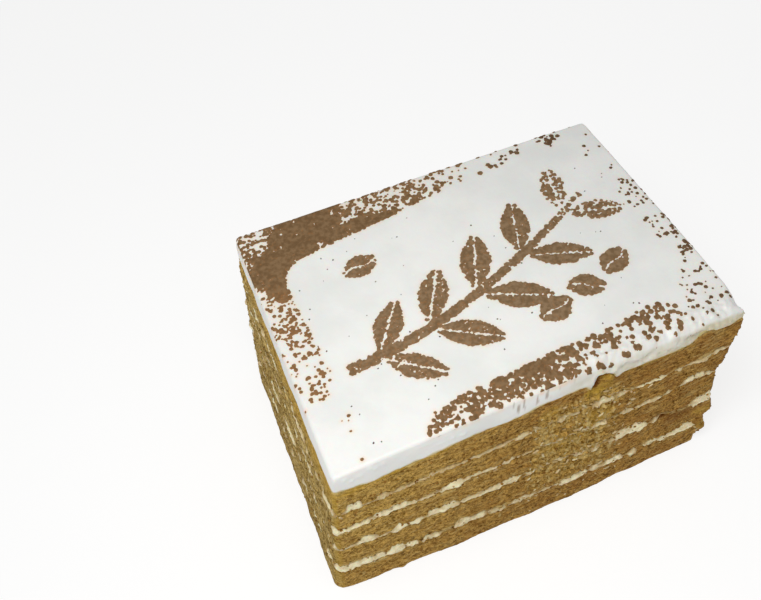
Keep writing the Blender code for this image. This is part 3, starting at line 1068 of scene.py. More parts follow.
@dataclass
class Layers:
    """The sponge sheets and the creams between them."""

    shades: Shades
    block: Block = field(default_factory=Block)
    cut: Cut = field(default_factory=Cut)
    spacing: float = 0.28
    lap: float = 0.06
    cream_rows: int = 8
    icing_line: tuple = (
        (0, 50.4), (1.5, 50.5), (5.8, 49.7), (9.7, 49.2), (13.5, 49.5), (18.5, 49.8), (25, 49.8),
        (30, 50.4), (40, 50), (45, 50.3), (51, 50.9), (58.4, 51), (60.1, 50.5), (61.3, 49),
        (61.7, 48.8), (62, 53.4), (62.8, 53.8), (64.2, 53.3), (65.6, 52.6), (66.7, 51.6),
        (67.9, 49.6), (69.6, 50.8), (75, 50.6), (83, 50.3), (86.5, 50.7), (88.3, 52), (90, 53.4),
        (91.6, 53.4), (92.6, 52.3), (96.3, 52.2), (99, 53), (170, 52), (270, 51), (340, 50.4),
    )
    patches: tuple[Spot, ...] = (
        Spot(64, 47.5, 3.4, 3.4, 0.55, StainAndPaintedLight.GOLDEN),
        Spot(65.5, 52.3, 2.2, 1.5, 0.5, StainAndPaintedLight.GOLDEN),
        Spot(51.5, 46.3, 2.2, 2.5, 0.35, StainAndPaintedLight.GOLDEN),
        Spot(65.5, 36, 4.0, 4.0, 0.4, StainAndPaintedLight.GOLDEN),
        Spot(57, 30, 7, 4, 0.2, StainAndPaintedLight.GOLDEN),
        Spot(2, 49.0, 7, 1.3, 0.4, StainAndPaintedLight.GOLDEN),
        Spot(14, 49.3, 16, 0.8, 0.45, StainAndPaintedLight.GOLDEN),
        Spot(78, 50.2, 9, 0.6, 0.4, StainAndPaintedLight.GOLDEN),
        Spot(99.5, 8, 2.2, 2.6, 0.5, StainAndPaintedLight.GOLDEN),
        Spot(97.5, 15.5, 3, 2, 0.4, StainAndPaintedLight.GOLDEN),
        Spot(62.6, 47.3, 2.4, 1.8, 0.85, StainAndPaintedLight.GOLDEN),
        # Brown below is painted shade in the hole at 86 and in the cavity and the strip under the icing's
        # notch at 62 to 65; it also darkens round the dip at 90 and browns the bump at 99.5.
        Spot(85.9, 20.9, 1.7, 1.6, 1.0, StainAndPaintedLight.BROWN),
        Spot(90.5, 19.4, 4.6, 2.8, 0.6, StainAndPaintedLight.BROWN),
        Spot(99.5, 8, 2.2, 2.6, 0.3, StainAndPaintedLight.BROWN),
        Spot(62.3, 51.4, 1.1, 3.0, 1.0, StainAndPaintedLight.BROWN),
        Spot(64.4, 53.4, 1.8, 0.6, 0.7, StainAndPaintedLight.BROWN),
        Spot(50.9, 36.6, 0.45, 2.4, 0.8, StainAndPaintedLight.CREAM),
        Spot(51.9, 34.6, 0.8, 1.1, 0.75, StainAndPaintedLight.CREAM),
        Spot(51.6, 29.2, 1.2, 0.7, 0.7, StainAndPaintedLight.CREAM),
        Spot(53.8, 27.9, 1.4, 0.6, 0.7, StainAndPaintedLight.CREAM),
        Spot(68.8, 40.2, 0.5, 1.2, 0.6, StainAndPaintedLight.CREAM),
        Spot(66, 29.6, 1.6, 0.6, 0.5, StainAndPaintedLight.CREAM),
        Spot(64, 19.3, 2.2, 0.5, 0.5, StainAndPaintedLight.CREAM),
        Spot(71.3, 18.2, 0.5, 1.4, 0.6, StainAndPaintedLight.CREAM),
        Spot(68.8, 12.6, 0.7, 1.0, 0.6, StainAndPaintedLight.CREAM),
        Spot(6.8, 5, 0.4, 0.8, 0.5, StainAndPaintedLight.CREAM),
        Spot(42.6, 5.6, 0.4, 0.9, 0.6, StainAndPaintedLight.CREAM),
    )

    @cached_property
    def seams(self) -> list[Seam]:
        """The four creams, from the bottom up, with what shows on the front.

        Returns:
            The seams.
        """
        return [
            Seam(
                points=(
                    (0, 11), (10, 10.8), (18, 10.4), (22, 9.8), (27, 10.2), (35, 10.6), (39, 10.6),
                    (44, 9.4), (51, 10), (58, 9.4), (66, 9.6), (78, 8.8), (82, 10), (94, 9.4),
                    (100, 8.6), (170, 9.4), (270, 11.4),
                ),
                streaks=(
                    Streak(-1.4, 0.5, 9.5, 13.8), Streak(0.3, 9.3, 9.9, 12.9, 0.95),
                    Streak(8.9, 10, 7.1, 12), Streak(-1.2, 20.8, 9.7, 11.7, 0.8),
                    Streak(29.7, 39, 9.8, 11.6, 0.6), Streak(9.3, 12.4, 9.5, 12.7, 0.9),
                    Streak(12.8, 17.4, 8.7, 13.1, 0.9), Streak(17.8, 20.6, 9.2, 11.6, 0.7),
                    Streak(21.3, 26.6, 8.8, 11.2, 0.6), Streak(29.7, 34.6, 9.0, 13.2, 0.75),
                    Streak(34.8, 38.7, 9.5, 12.1, 0.7), Streak(39, 44, 8.8, 10.3, 0.45),
                    Streak(44.6, 51.5, 9.1, 11.0, 0.45), Streak(52, 57, 9.2, 10.0, 0.3),
                    Streak(57.4, 66.7, 8.3, 10.7, 0.85), Streak(67, 70, 8, 11.4, 0.55),
                    Streak(70.4, 76.7, 8.2, 11.0, 0.9), Streak(78.2, 80.2, 5.7, 11.2, 0.8),
                    Streak(82.6, 86.6, 9.2, 11.8, 0.75), Streak(86.4, 97, 7.8, 10.3, 0.8),
                    Streak(94, 96.6, 7.2, 12.1, 0.95),
                ),
                seed=11,
            ),
            Seam(
                points=(
                    (0, 21.8), (10, 21.8), (17, 21.6), (25, 22), (32, 21.8), (46, 22.4), (52, 22.8),
                    (59, 21.8), (65, 20.8), (71, 21), (80, 20.6), (86, 20.8), (94, 21), (100, 20.9),
                    (170, 21.5), (270, 22.2),
                ),
                streaks=(
                    Streak(-1.6, -0.2, 21.6, 25.8, 0.9), Streak(0.2, 5, 21.5, 22.1, 0.45),
                    Streak(5, 10.2, 21.3, 24.2, 0.85), Streak(10.2, 14, 21.2, 21.9, 0.4),
                    Streak(14, 16.9, 20.5, 24, 1.0), Streak(14.4, 21.7, 20.4, 22.6, 0.95),
                    Streak(22.3, 30.6, 20.8, 23.7, 0.75), Streak(31.3, 46.8, 20.9, 23.0, 0.7),
                    Streak(48.3, 51, 21.1, 22.5, 0.8), Streak(52, 59, 21.8, 22.7, 0.5),
                    Streak(61, 64, 20.2, 21.3, 0.5), Streak(65.5, 68, 19.5, 20.8, 0.5),
                    Streak(70.8, 71.8, 19, 23.4, 0.6), Streak(71.9, 81.1, 19.4, 23.2, 0.85),
                    Streak(76.4, 79, 19.4, 23.9, 0.85), Streak(82.7, 84.9, 20, 21.7, 0.7),
                    Streak(93.7, 100.6, 18.8, 23.5, 0.85),
                ),
                seed=23,
            ),
            Seam(
                points=(
                    (0, 31.5), (8, 31.8), (17, 32), (25, 31.6), (31.5, 31.6), (34, 32.4),
                    (37.3, 33), (41.6, 31.9), (50, 32.2), (55, 32.5), (65, 31.5), (72, 31.9),
                    (76, 31.6), (83, 31.6), (86, 32.6), (92, 34.1), (98, 32.7), (170, 33.2),
                    (270, 32.2),
                ),
                streaks=(
                    Streak(-2, 0.9, 29.6, 33.8), Streak(0, 9, 31.2, 32.8, 0.85),
                    Streak(8.7, 17.5, 30.9, 33.5, 0.95), Streak(16, 20.6, 31, 32.4, 0.55),
                    Streak(20.2, 25, 30.9, 31.9, 0.5), Streak(25.7, 31.4, 30.5, 33.1),
                    Streak(31.2, 44.5, 31.8, 32.8, 0.6), Streak(44, 50, 31.8, 32.4, 0.2),
                    Streak(50.9, 52.6, 32.2, 34, 0.6), Streak(53, 62, 31.8, 32.5, 0.3),
                    Streak(64.8, 68.6, 30.2, 32.3, 0.6), Streak(72, 75.9, 30.9, 32.1, 0.5),
                    Streak(76.2, 83.4, 31.2, 32.3, 0.5), Streak(83.9, 86, 32.3, 33.7, 0.6),
                    Streak(88.2, 95.8, 33.2, 35.2, 0.75), Streak(95.6, 98.6, 32.5, 33.9, 0.7),
                ),
                seed=37,
            ),
            Seam(
                points=(
                    (0, 39.9), (8, 39.8), (15, 40), (25, 40.4), (35, 40.7), (43, 40.8),
                    (53.7, 41.3), (61, 41.5), (69, 41.2), (75.6, 41), (88, 41.4), (95, 42),
                    (170, 42), (270, 41.3),
                ),
                streaks=(
                    Streak(-1.9, 0.2, 39, 42.4, 0.8), Streak(2.4, 6.6, 40.1, 43, 0.9),
                    Streak(7, 9, 39.5, 40.1, 0.3), Streak(9.6, 12.6, 39.5, 41.8, 0.6),
                    Streak(12.6, 43, 40.1, 40.9, 0.36), Streak(43.2, 47.3, 39.8, 41.8, 0.65),
                    Streak(48, 53, 40.8, 41.5, 0.25), Streak(53.6, 61.5, 40.9, 41.9, 0.4),
                    Streak(63.4, 68.6, 39.7, 42.5, 0.85), Streak(69.4, 72.4, 40.6, 41.9, 0.45),
                    Streak(74.6, 82.4, 40.6, 41.6, 0.8), Streak(85, 86.8, 40.8, 42.1, 0.45),
                    Streak(88, 94, 41, 41.9, 0.5), Streak(94.2, 98.4, 41.5, 42.6, 0.45),
                ),
                seed=53,
            ),
        ]

    def icing_seam(self, along: np.ndarray) -> np.ndarray:
        """Where the icing meets the top sponge.

        Args:
            along: Distances walked round the block.

        Returns:
            The heights.
        """
        walked = np.arange(0, self.block.round_trip, 0.2)
        line = np.interp(walked, *zip(*self.icing_line))
        line = line + 0.16 * ripple(in_plan(walked, 0 * walked), 2.6, 71, 2)
        return np.interp(along, walked, line, period=self.block.round_trip)

    def drum(self, rows: int) -> bmesh.types.BMesh:
        """The drum that a layer is shaped from."""
        return unit_drum(self.block, round(self.block.round_trip / self.spacing), rows)

    def wall(self, mesh: bpy.types.Mesh, low: Line, high: Line) -> LayerWall:
        """Where the points of a unit drum come to lie between two lines, before any relief.

        Args:
            mesh: The drum's mesh.
            low: The lower line, as heights for walks round the block.
            high: The upper line.

        Returns:
            The layer's points.
        """
        u, v, share = coordinates(mesh).T
        side = on_side(u, v)
        along = np.where(side, self.block.walk(u, v), 0)
        low_z, high_z = low(along), high(along)
        middle = np.mean(low_z[side]), np.mean(high_z[side])
        low_z, high_z = np.where(side, low_z, middle[0]), np.where(side, high_z, middle[1])
        z = low_z + (high_z - low_z) * share
        x, y, out_x, out_y = self.block.place(u, v, z)
        x = x + self.cut.edge(x, y, z)
        return LayerWall(x, y, z, out_x, out_y, along, share, side, low_z, high_z)

    def move_out(self, mesh: bpy.types.Mesh, wall: LayerWall, out: np.ndarray) -> None:
        """Places a layer's points in the frame.

        Args:
            mesh: The layer's mesh.
            wall: Its points before any relief.
            out: How far each one is moved out.
        """
        out = np.where(wall.side, out, 0)
        x, y = wall.x + wall.out_x * out, wall.y + wall.out_y * out
        set_coordinates(mesh, self.block.to_frame(x, y, np.maximum(wall.z, 0)))

    def soaked_and_shaded(self, wall: Wall, stain_and_light: StainAndPaintedLight) -> np.ndarray:
        """How strongly the front is soaked with one thing, where the brown in the hole and under the
        icing's notch is painted shade.

        Args:
            wall: The points to read.
            stain_and_light: The thing.

        Returns:
            A share for each point.
        """
        uneven = 0.45 * ripple(wall.points, 1.6, 81, 3)
        total = np.zeros_like(wall.z)
        for patch in self.patches:
            if patch.stain_and_light is stain_and_light:
                shown = 1 - smooth_step(0.3, 1.5, patch.far(wall) + uneven)
                total = np.maximum(total, patch.amount * shown)
        return total * wall.front

    def stain_sponge(self, mesh: bpy.types.Mesh, wall: LayerWall, lip: np.ndarray) -> None:
        """Stores how fresh, moist and soaked a sponge is at each point, with painted shade in brown and a
        painted highlight in golden.

        Args:
            mesh: The sponge's mesh.
            wall: Its points before any relief.
            lip: How far each point is from the nearest cream.
        """
        points, torn, left = wall.points, self.cut.torn(wall), -wall.out_x
        fresh = (1 - smooth_step(-5, 66, wall.x)) * (0.45 + 0.6 * wall.z / self.block.height)
        moist = smooth_step(0.3, 0.9, left) * (1 - smooth_step(42, 50, wall.z))
        set_attribute(mesh, "fresh", np.maximum(fresh, 0.6 * torn))
        set_attribute(mesh, "moist", moist)
        dragged = smooth_step(0.15, 0.8, ripple(points * (0.2, 0.2, 1), 1.3, 91, 3))
        smear = dragged * (1 - smooth_step(0.2, 2.2, lip)) * 0.8
        strand = smooth_step(0.15, 0.7, ripple(points * (1, 1, 0.5), 0.8, 95, 2)) * torn * 0.9
        upper = smooth_step(40, 48, wall.z) * smooth_step(0.4, 0.9, left)
        upper = 0.5 * upper * (1 - smooth_step(20, 60, wall.y))
        # Painted highlight: golden along the front left corner, stronger towards the top.
        corner = smooth_step(0.1, 0.5, np.minimum(left, -wall.out_y))
        corner = corner * (0.25 + 0.5 * wall.z / self.block.height)
        all_round = {
            StainAndPaintedLight.GOLDEN: np.maximum(upper, corner),
            StainAndPaintedLight.BROWN: np.zeros_like(upper),
            StainAndPaintedLight.CREAM: np.maximum(smear, strand),
        }
        for stain_and_light, amount in all_round.items():
            set_attribute(mesh, stain_and_light.value, np.maximum(self.soaked_and_shaded(wall, stain_and_light), amount))

    def sponge(self, name: str, low: Line, high: Line) -> bpy.types.Object:
        """One sponge sheet.

        Args:
            name: Its node's name.
            low: Its lower line.
            high: Its upper line.

        Returns:
            The piece.
        """
        walks = np.arange(0, self.block.round_trip)
        tall = float(np.mean(high(walks) - low(walks)))
        bm = self.drum(max(6, round(tall / self.spacing)))
        piece = new_object(f"{name}_crumb", bm, (name,))
        wall = self.wall(piece.data, low, high)
        lip = np.minimum(wall.share + (wall.z < 3), 1 - wall.share) * wall.thick
        self.move_out(piece.data, wall, self.cut.relief(wall) - 0.2 * (1 - smooth_step(0, 0.7, lip)))
        self.stain_sponge(piece.data, wall, lip)
        piece.data.materials.append(SpongeFinish().material(name, self.shades))
        return piece

    def cream(self, name: str, seam: Seam, material: bpy.types.Material) -> bpy.types.Object:
        """One cream, which swells out between the sponges where it is thick.

        Args:
            name: Its node's name.
            seam: Its line and streaks.
            material: Its material.

        Returns:
            The piece.
        """
        piece = new_object(f"{name}_spread", self.drum(self.cream_rows), (name,))
        wall = self.wall(piece.data, seam.low, seam.high)
        points, seed = wall.points, seam.seed
        body = smooth_step(0.35, 1.3, wall.thick)
        swell = np.sin(np.pi * wall.share) ** 0.6
        out = self.cut.relief(wall) * 0.5 - 0.12
        out += body * swell * (0.32 + 0.3 * ripple(points, 2.4, seed + 5))
        out += body * 0.1 * ripple(points, 0.9, seed + 6)
        self.move_out(piece.data, wall, out)
        uneven = 0.3 * ripple(points, 1.1, seed + 7, 3)
        rim = np.minimum(wall.share, 1 - wall.share) + 0.12 * ripple(points, 0.8, seed + 8)
        strayed = wall.along + 0.9 * ripple(points, 1.2, seed + 9, 2)
        body = seam.pale(strayed) * (1.0 + uneven) * (0.78 + 0.22 * smooth_step(0, 0.3, rim))
        set_attribute(piece.data, "body", np.clip(body, 0, 1))
        piece.data.materials.append(material)
        return piece

    def build(self) -> list[bpy.types.Object]:
        """Builds the nine layers.

        Returns:
            The pieces from the bottom up.
        """
        cream = CreamFinish().material("cream", self.shades)
        lows = [np.zeros_like, *(lapped(seam.high, -self.lap) for seam in self.seams)]
        highs = [lapped(seam.low, self.lap) for seam in self.seams]
        highs.append(lapped(self.icing_seam, self.lap))
        pieces = []
        for number, (low, high) in enumerate(zip(lows, highs), start=1):
            pieces.append(self.sponge(f"sponge_{number}", low, high))
            if number <= len(self.seams):
                pieces.append(self.cream(f"cream_{number}", self.seams[number - 1], cream))
        return pieces


@dataclass(frozen=True)
class CocoaMap:
    """How far each point of a grid over the top lies outside the nearest grain of each sort."""

    xs: np.ndarray
    ys: np.ndarray
    spacing: float
    gaps: dict[Fall, np.ndarray]

    def at(self, x: np.ndarray, y: np.ndarray) -> dict[Fall, np.ndarray]:
        """Reads the map between its points.

        Args:
            x: Measures to the right.
            y: Measures to the back.

        Returns:
            The distance to each sort of grain.
        """
        a = np.clip((x - self.xs[0]) / self.spacing, 0, len(self.xs) - 1.001)
        b = np.clip((y - self.ys[0]) / self.spacing, 0, len(self.ys) - 1.001)
        i, j = a.astype(int), b.astype(int)
        a, b = a - i, b - j
        found = {}
        for fall, gap in self.gaps.items():
            near = gap[j, i] * (1 - a) + gap[j, i + 1] * a
            far = gap[j + 1, i] * (1 - a) + gap[j + 1, i + 1] * a
            found[fall] = near * (1 - b) + far * b
        return found


@dataclass
class Dusting:
    """Where cocoa lies on the icing: what missed the stencil, and the stencilled ornament."""

    block: Block = field(default_factory=Block)
    plate: tuple = (
        (10.4, -6), (10.4, 17), (9, 46), (9, 50.5), (9.9, 53.2), (11.9, 55.2), (15, 56.5),
        (21, 57.3), (30, 58.6), (40, 60), (50, 61.6), (60, 63), (78, 64.5), (90, 65), (93, 58),
        (93.5, 47), (94.5, 37), (95, 20), (91.5, 13), (90, 5), (87.5, 4.5), (87, 10.4), (80, 9.2),
        (70, 7.8), (60, 7.3), (50, 6.4), (40, 5.6), (33, 5.2), (27, 3.8), (23.5, 0), (22.3, -6),
    )
    stem_start: tuple = (14, 21)
    stem_bend: tuple = (46, 23)
    stem_end: tuple = (85, 47)
    stem_width: float = 2.2
    stem_steps: int = 30
    leaf_pairs: int = 5
    leaf_length: float = 16.5
    leaf_width: float = 7.2
    leaf_turn: float = math.radians(46)
    rib_width: float = 0.8
    beans: tuple = ((63, 17.5, 20), (72.5, 20.5, -25), (82, 24.5, 35), (27, 48, 15))
    bean_length: float = 9
    bean_width: float = 6.2
    bean_bow: float = 0.6
    grain: float = 0.43
    most: float = 8.0
    reach: float = 1.6
    seed: int = 5

    @staticmethod
    def back_band(x: np.ndarray, y: np.ndarray, clump: np.ndarray) -> np.ndarray:
        """How thickly cocoa lies along the back edge and in the back left corner.

        Args:
            x: Measures to the right.
            y: Measures to the back.
            clump: How much the grains gather at each point.

        Returns:
            The mean number of grains, before they gather.
        """
        rear = smooth_step(60, 64, y)
        ends = x - 12 * rear * smooth_step(-8, 8, 20 - x) + 14 * rear
        back = 5 * (1 - smooth_step(36, 46, ends))
        back = back + (1.25 - 0.5 * rear) * (1 - smooth_step(46, 62, x))
        back = back + 0.14 * (1 - smooth_step(76, 82, x)) + 0.26 * np.exp(-(((x - 87) / 2.5) ** 2))
        back = back * smooth_step(50, 58, y)
        corner = (1 - smooth_step(7, 11, x - 0.4 * (y - 62))) * smooth_step(54, 60, y)
        return back * (1 - corner) + 0.8 * corner / clump**0.7

    @staticmethod
    def left_band(x: np.ndarray, y: np.ndarray, clump: np.ndarray) -> np.ndarray:
        """How thickly cocoa lies along the left edge, down to a thin tip.

        Args:
            x: Measures to the right.
            y: Measures to the back.
            clump: How much the grains gather at each point.

        Returns:
            The mean number of grains, before they gather.
        """
        left = 4.5 * smooth_step(44, 51, y) * smooth_step(1.5, 6, x) + 0.8 * smooth_step(26, 36, y)
        left = (left + 0.32 * smooth_step(12, 19, y)) * (0.7 + 0.6 * smooth_step(3, 9, x))
        tip = 3.5 * (1 - smooth_step(14, 24, y))
        left = left * smooth_step(1.2, 2.6, x) * (1 - smooth_step(9.5, 10.8, x + tip))
        return left * (y < 61) / np.sqrt(clump)

    @staticmethod
    def front_band(x: np.ndarray, y: np.ndarray) -> np.ndarray:
        """How thickly cocoa lies along the front edge, with a loose tail to the right.

        Args:
            x: Measures to the right.
            y: Measures to the back.

        Returns:
            The mean number of grains, before they gather.
        """
        rise = y - np.interp(x, (23, 40, 60, 70, 87), (1.5, 2.6, 4.5, 5.8, 8.4))
        upper = smooth_step(-1.8, 1.0, rise)
        front = (0.1 + 1.2 * upper) * smooth_step(33, 41, x) * (1 - smooth_step(52, 60, x))
        front = front + 1.0 * smooth_step(22, 24, x) * (1 - smooth_step(58, 66, x))
        front = front * smooth_step(-1.6, 0.2, y)
        gathered = np.clip(1 + 1.2 * ripple(in_plan(x, y), 3.6, 14, 2), 0.1, 2)
        tail = (0.25 + 0.27 * upper) * smooth_step(56, 62, x) * (1 - smooth_step(84, 88, x))
        tail = tail * (1 + 0.35 * smooth_step(74, 80, x)) * smooth_step(0.5, 3.5, y) * gathered
        strays = 0.07 * (x > 8) * (x < 95)
        front = np.maximum(front, tail) + strays + 0.06 * (x > 9) * (x < 24)
        return front * (y < 12) * smooth_step(-2.2, -1.4, y)

    @staticmethod
    def right_specks(x: np.ndarray, y: np.ndarray) -> np.ndarray:
        """How thickly cocoa lies in the groups of specks along the right edge.

        Args:
            x: Measures to the right.
            y: Measures to the back.

        Returns:
            The mean number of grains, before they gather.
        """
        right = 0.46 * smooth_step(93, 96, x) * (np.abs(y - 25) < 8)
        right = right + 0.28 * smooth_step(92, 95, x) * (np.abs(y - 41.5) < 5.5)
        return right + 0.22 * (x > 90.5) * (np.abs(y - 10) < 6) + 0.03 * (x > 12)

    def spill(self, x: np.ndarray, y: np.ndarray) -> np.ndarray:
        """How thickly cocoa fell past the stencil's plate.

        Args:
            x: Measures to the right.
            y: Measures to the back.

        Returns:
            The mean number of grains over each point.
        """
        clump = np.clip(1 + 0.9 * ripple(in_plan(x, y), 2.6, 5, 3), 0.15, 2.2)
        back, left = self.back_band(x, y, clump), self.left_band(x, y, clump)
        return np.maximum.reduce([back, left, self.front_band(x, y), self.right_specks(x, y)]) * clump

    def halves(self, start: Vector, way: Vector, long: float, wide: float, bow: float) -> list:
        """A pointed oval, cut along its rib into two halves.

        Args:
            start: Its near tip.
            way: The direction to its far tip.
            long: Its length.
            wide: Its width.
            bow: How far the rib bows into an S.

        Returns:
            The outlines of both halves.
        """
        outlines = []
        for hand in (1, -1):
            across = Vector((-way.y, way.x)) * hand
            outer, inner = [], []
            for step in range(13):
                share = (step + 0.2) / 12.4
                belly = math.sin(math.pi * share) ** 0.8
                rib = bow * math.sin(math.tau * share) * hand + self.rib_width / 2
                outer.append(start + way * long * share + across * max(wide / 2 * belly, rib + 0.4))
                inner.append(start + way * long * share + across * rib)
            outlines.append(outer + inner[::-1])
        return outlines

    def stem_at(self, share: float) -> tuple[Vector, Vector]:
        """Follows the stem.

        Args:
            share: How far along it, from 0 to 1.

        Returns:
            The place there and the way it runs.
        """
        start, bend, end = Vector(self.stem_start), Vector(self.stem_bend), Vector(self.stem_end)
        first, second = start.lerp(bend, share), bend.lerp(end, share)
        return first.lerp(second, share), (second - first).normalized()

    def ornament(self) -> list[list[Vector]]:
        """The sprig and the beans.

        Returns:
            The outline of each shape.
        """
        right, left = [], []
        for step in range(self.stem_steps + 1):
            share = step / self.stem_steps
            place, way = self.stem_at(share)
            half = self.stem_width * (0.62 - 0.3 * step / self.stem_steps)
            right.append(place + Vector((way.y, -way.x)) * half)
            left.append(place - Vector((way.y, -way.x)) * half)
        shapes = [right + left[::-1]]
        for pair in range(self.leaf_pairs):
            share = (pair + 0.55) / self.leaf_pairs
            place, way = self.stem_at(share)
            size = 1 - 0.35 * abs(share - 0.45)
            long, wide = self.leaf_length * size, self.leaf_width * size
            for side in (1, -1):
                leaf_way = Matrix.Rotation(self.leaf_turn * side, 2) @ way
                shapes += self.halves(place + leaf_way * 1.9, leaf_way, long, wide, 0)
        for x, y, turn in self.beans:
            way = Matrix.Rotation(math.radians(turn), 2) @ Vector((1, 0))
            start = Vector((x, y)) - way * self.bean_length / 2
            shapes += self.halves(start, way, self.bean_length, self.bean_width, self.bean_bow)
        return shapes

    @staticmethod
    def inside(x: np.ndarray, y: np.ndarray, outline: list) -> np.ndarray:
        """Which points lie in a closed outline.

        Args:
            x: Measures to the right.
            y: Measures to the back.
            outline: The outline's corners in order.

        Returns:
            Whether each point does.
        """
        found = np.zeros(x.shape, bool)
        for (ax, ay), (bx, by) in zip(outline, outline[1:] + outline[:1]):
            if ay != by:
                crosses = (ay > y) != (by > y)
                found ^= crosses & (x < (bx - ax) * (y - ay) / (by - ay) + ax)
        return found

    def grains(self) -> np.ndarray:
        """Every grain of cocoa, kept where chance allows as many as should lie there.

        Returns:
            One row each: the place, the radius and how it fell.
        """
        draw = np.random.default_rng(self.seed)
        count = int(self.most / (math.pi * self.grain**2) * self.block.length * 74)
        x, y = draw.uniform(0, self.block.length + 1, count), draw.uniform(-3, 70.5, count)
        chance = draw.uniform(0, self.most, count)
        plate = self.inside(x, y, list(self.plate))
        wanted = np.where(plate, 0.01, self.spill(x, y))
        stencil = np.zeros(x.shape, bool)
        for shape in self.ornament():
            stencil |= self.inside(x, y, [tuple(point) for point in shape])
        faded = smooth_step(62, 84, x) * smooth_step(28, 46, y)
        gathered = np.clip(1 + 0.7 * ripple(in_plan(x, y), 2.5, 9, 2), 0.25, 1)
        wanted = np.where(stencil, np.maximum((7.5 - 6.3 * faded) * gathered, wanted), wanted)
        radius = self.grain * draw.uniform(0.45, 1.35, count)
        radius = radius * (1 - 0.12 * (1 - smooth_step(9, 12, x)) * (1 - smooth_step(44, 50, y)))
        radius = radius * (1 + 0.25 * smooth_step(45, 66, x)) * (1 - 0.3 * smooth_step(87, 93, x))
        radius = np.where(plate & stencil, radius * 0.75, radius)
        radius = np.where(plate & ~stencil, draw.uniform(0.12, 0.22, count), radius)
        inner = np.where(stencil, Fall.STENCILLED.value, Fall.STRAY.value)
        fall = np.where(plate, inner, Fall.SPILLED.value)
        return np.stack([x, y, radius, fall], axis=-1)[chance < wanted]

    def cocoa_map(self, spacing: float) -> CocoaMap:
        """Maps how far the top's points lie outside the nearest grain.

        Args:
            spacing: The map's spacing.

        Returns:
            The map.
        """
        xs = np.arange(-1, self.block.length + 3, spacing)
        ys = np.arange(-4, self.block.width + 2, spacing)
        grid_x, grid_y = np.meshgrid(xs, ys)
        gaps = {fall: np.full(grid_x.shape, 3.0) for fall in Fall}
        for x, y, radius, fall in self.grains():
            nearest = gaps[Fall(int(fall))]
            a, b = np.searchsorted(xs, (x - self.reach, x + self.reach))
            c, d = np.searchsorted(ys, (y - self.reach, y + self.reach))
            gap = np.hypot(xs[None, a:b] - x, ys[c:d, None] - y) - radius
            nearest[c:d, a:b] = np.minimum(nearest[c:d, a:b], gap)
        ragged = 0.1 * ripple(in_plan(grid_x.ravel(), grid_y.ravel()), 0.55, 13).reshape(grid_x.shape)
        return CocoaMap(xs, ys, spacing, {fall: gap + ragged for fall, gap in gaps.items()})


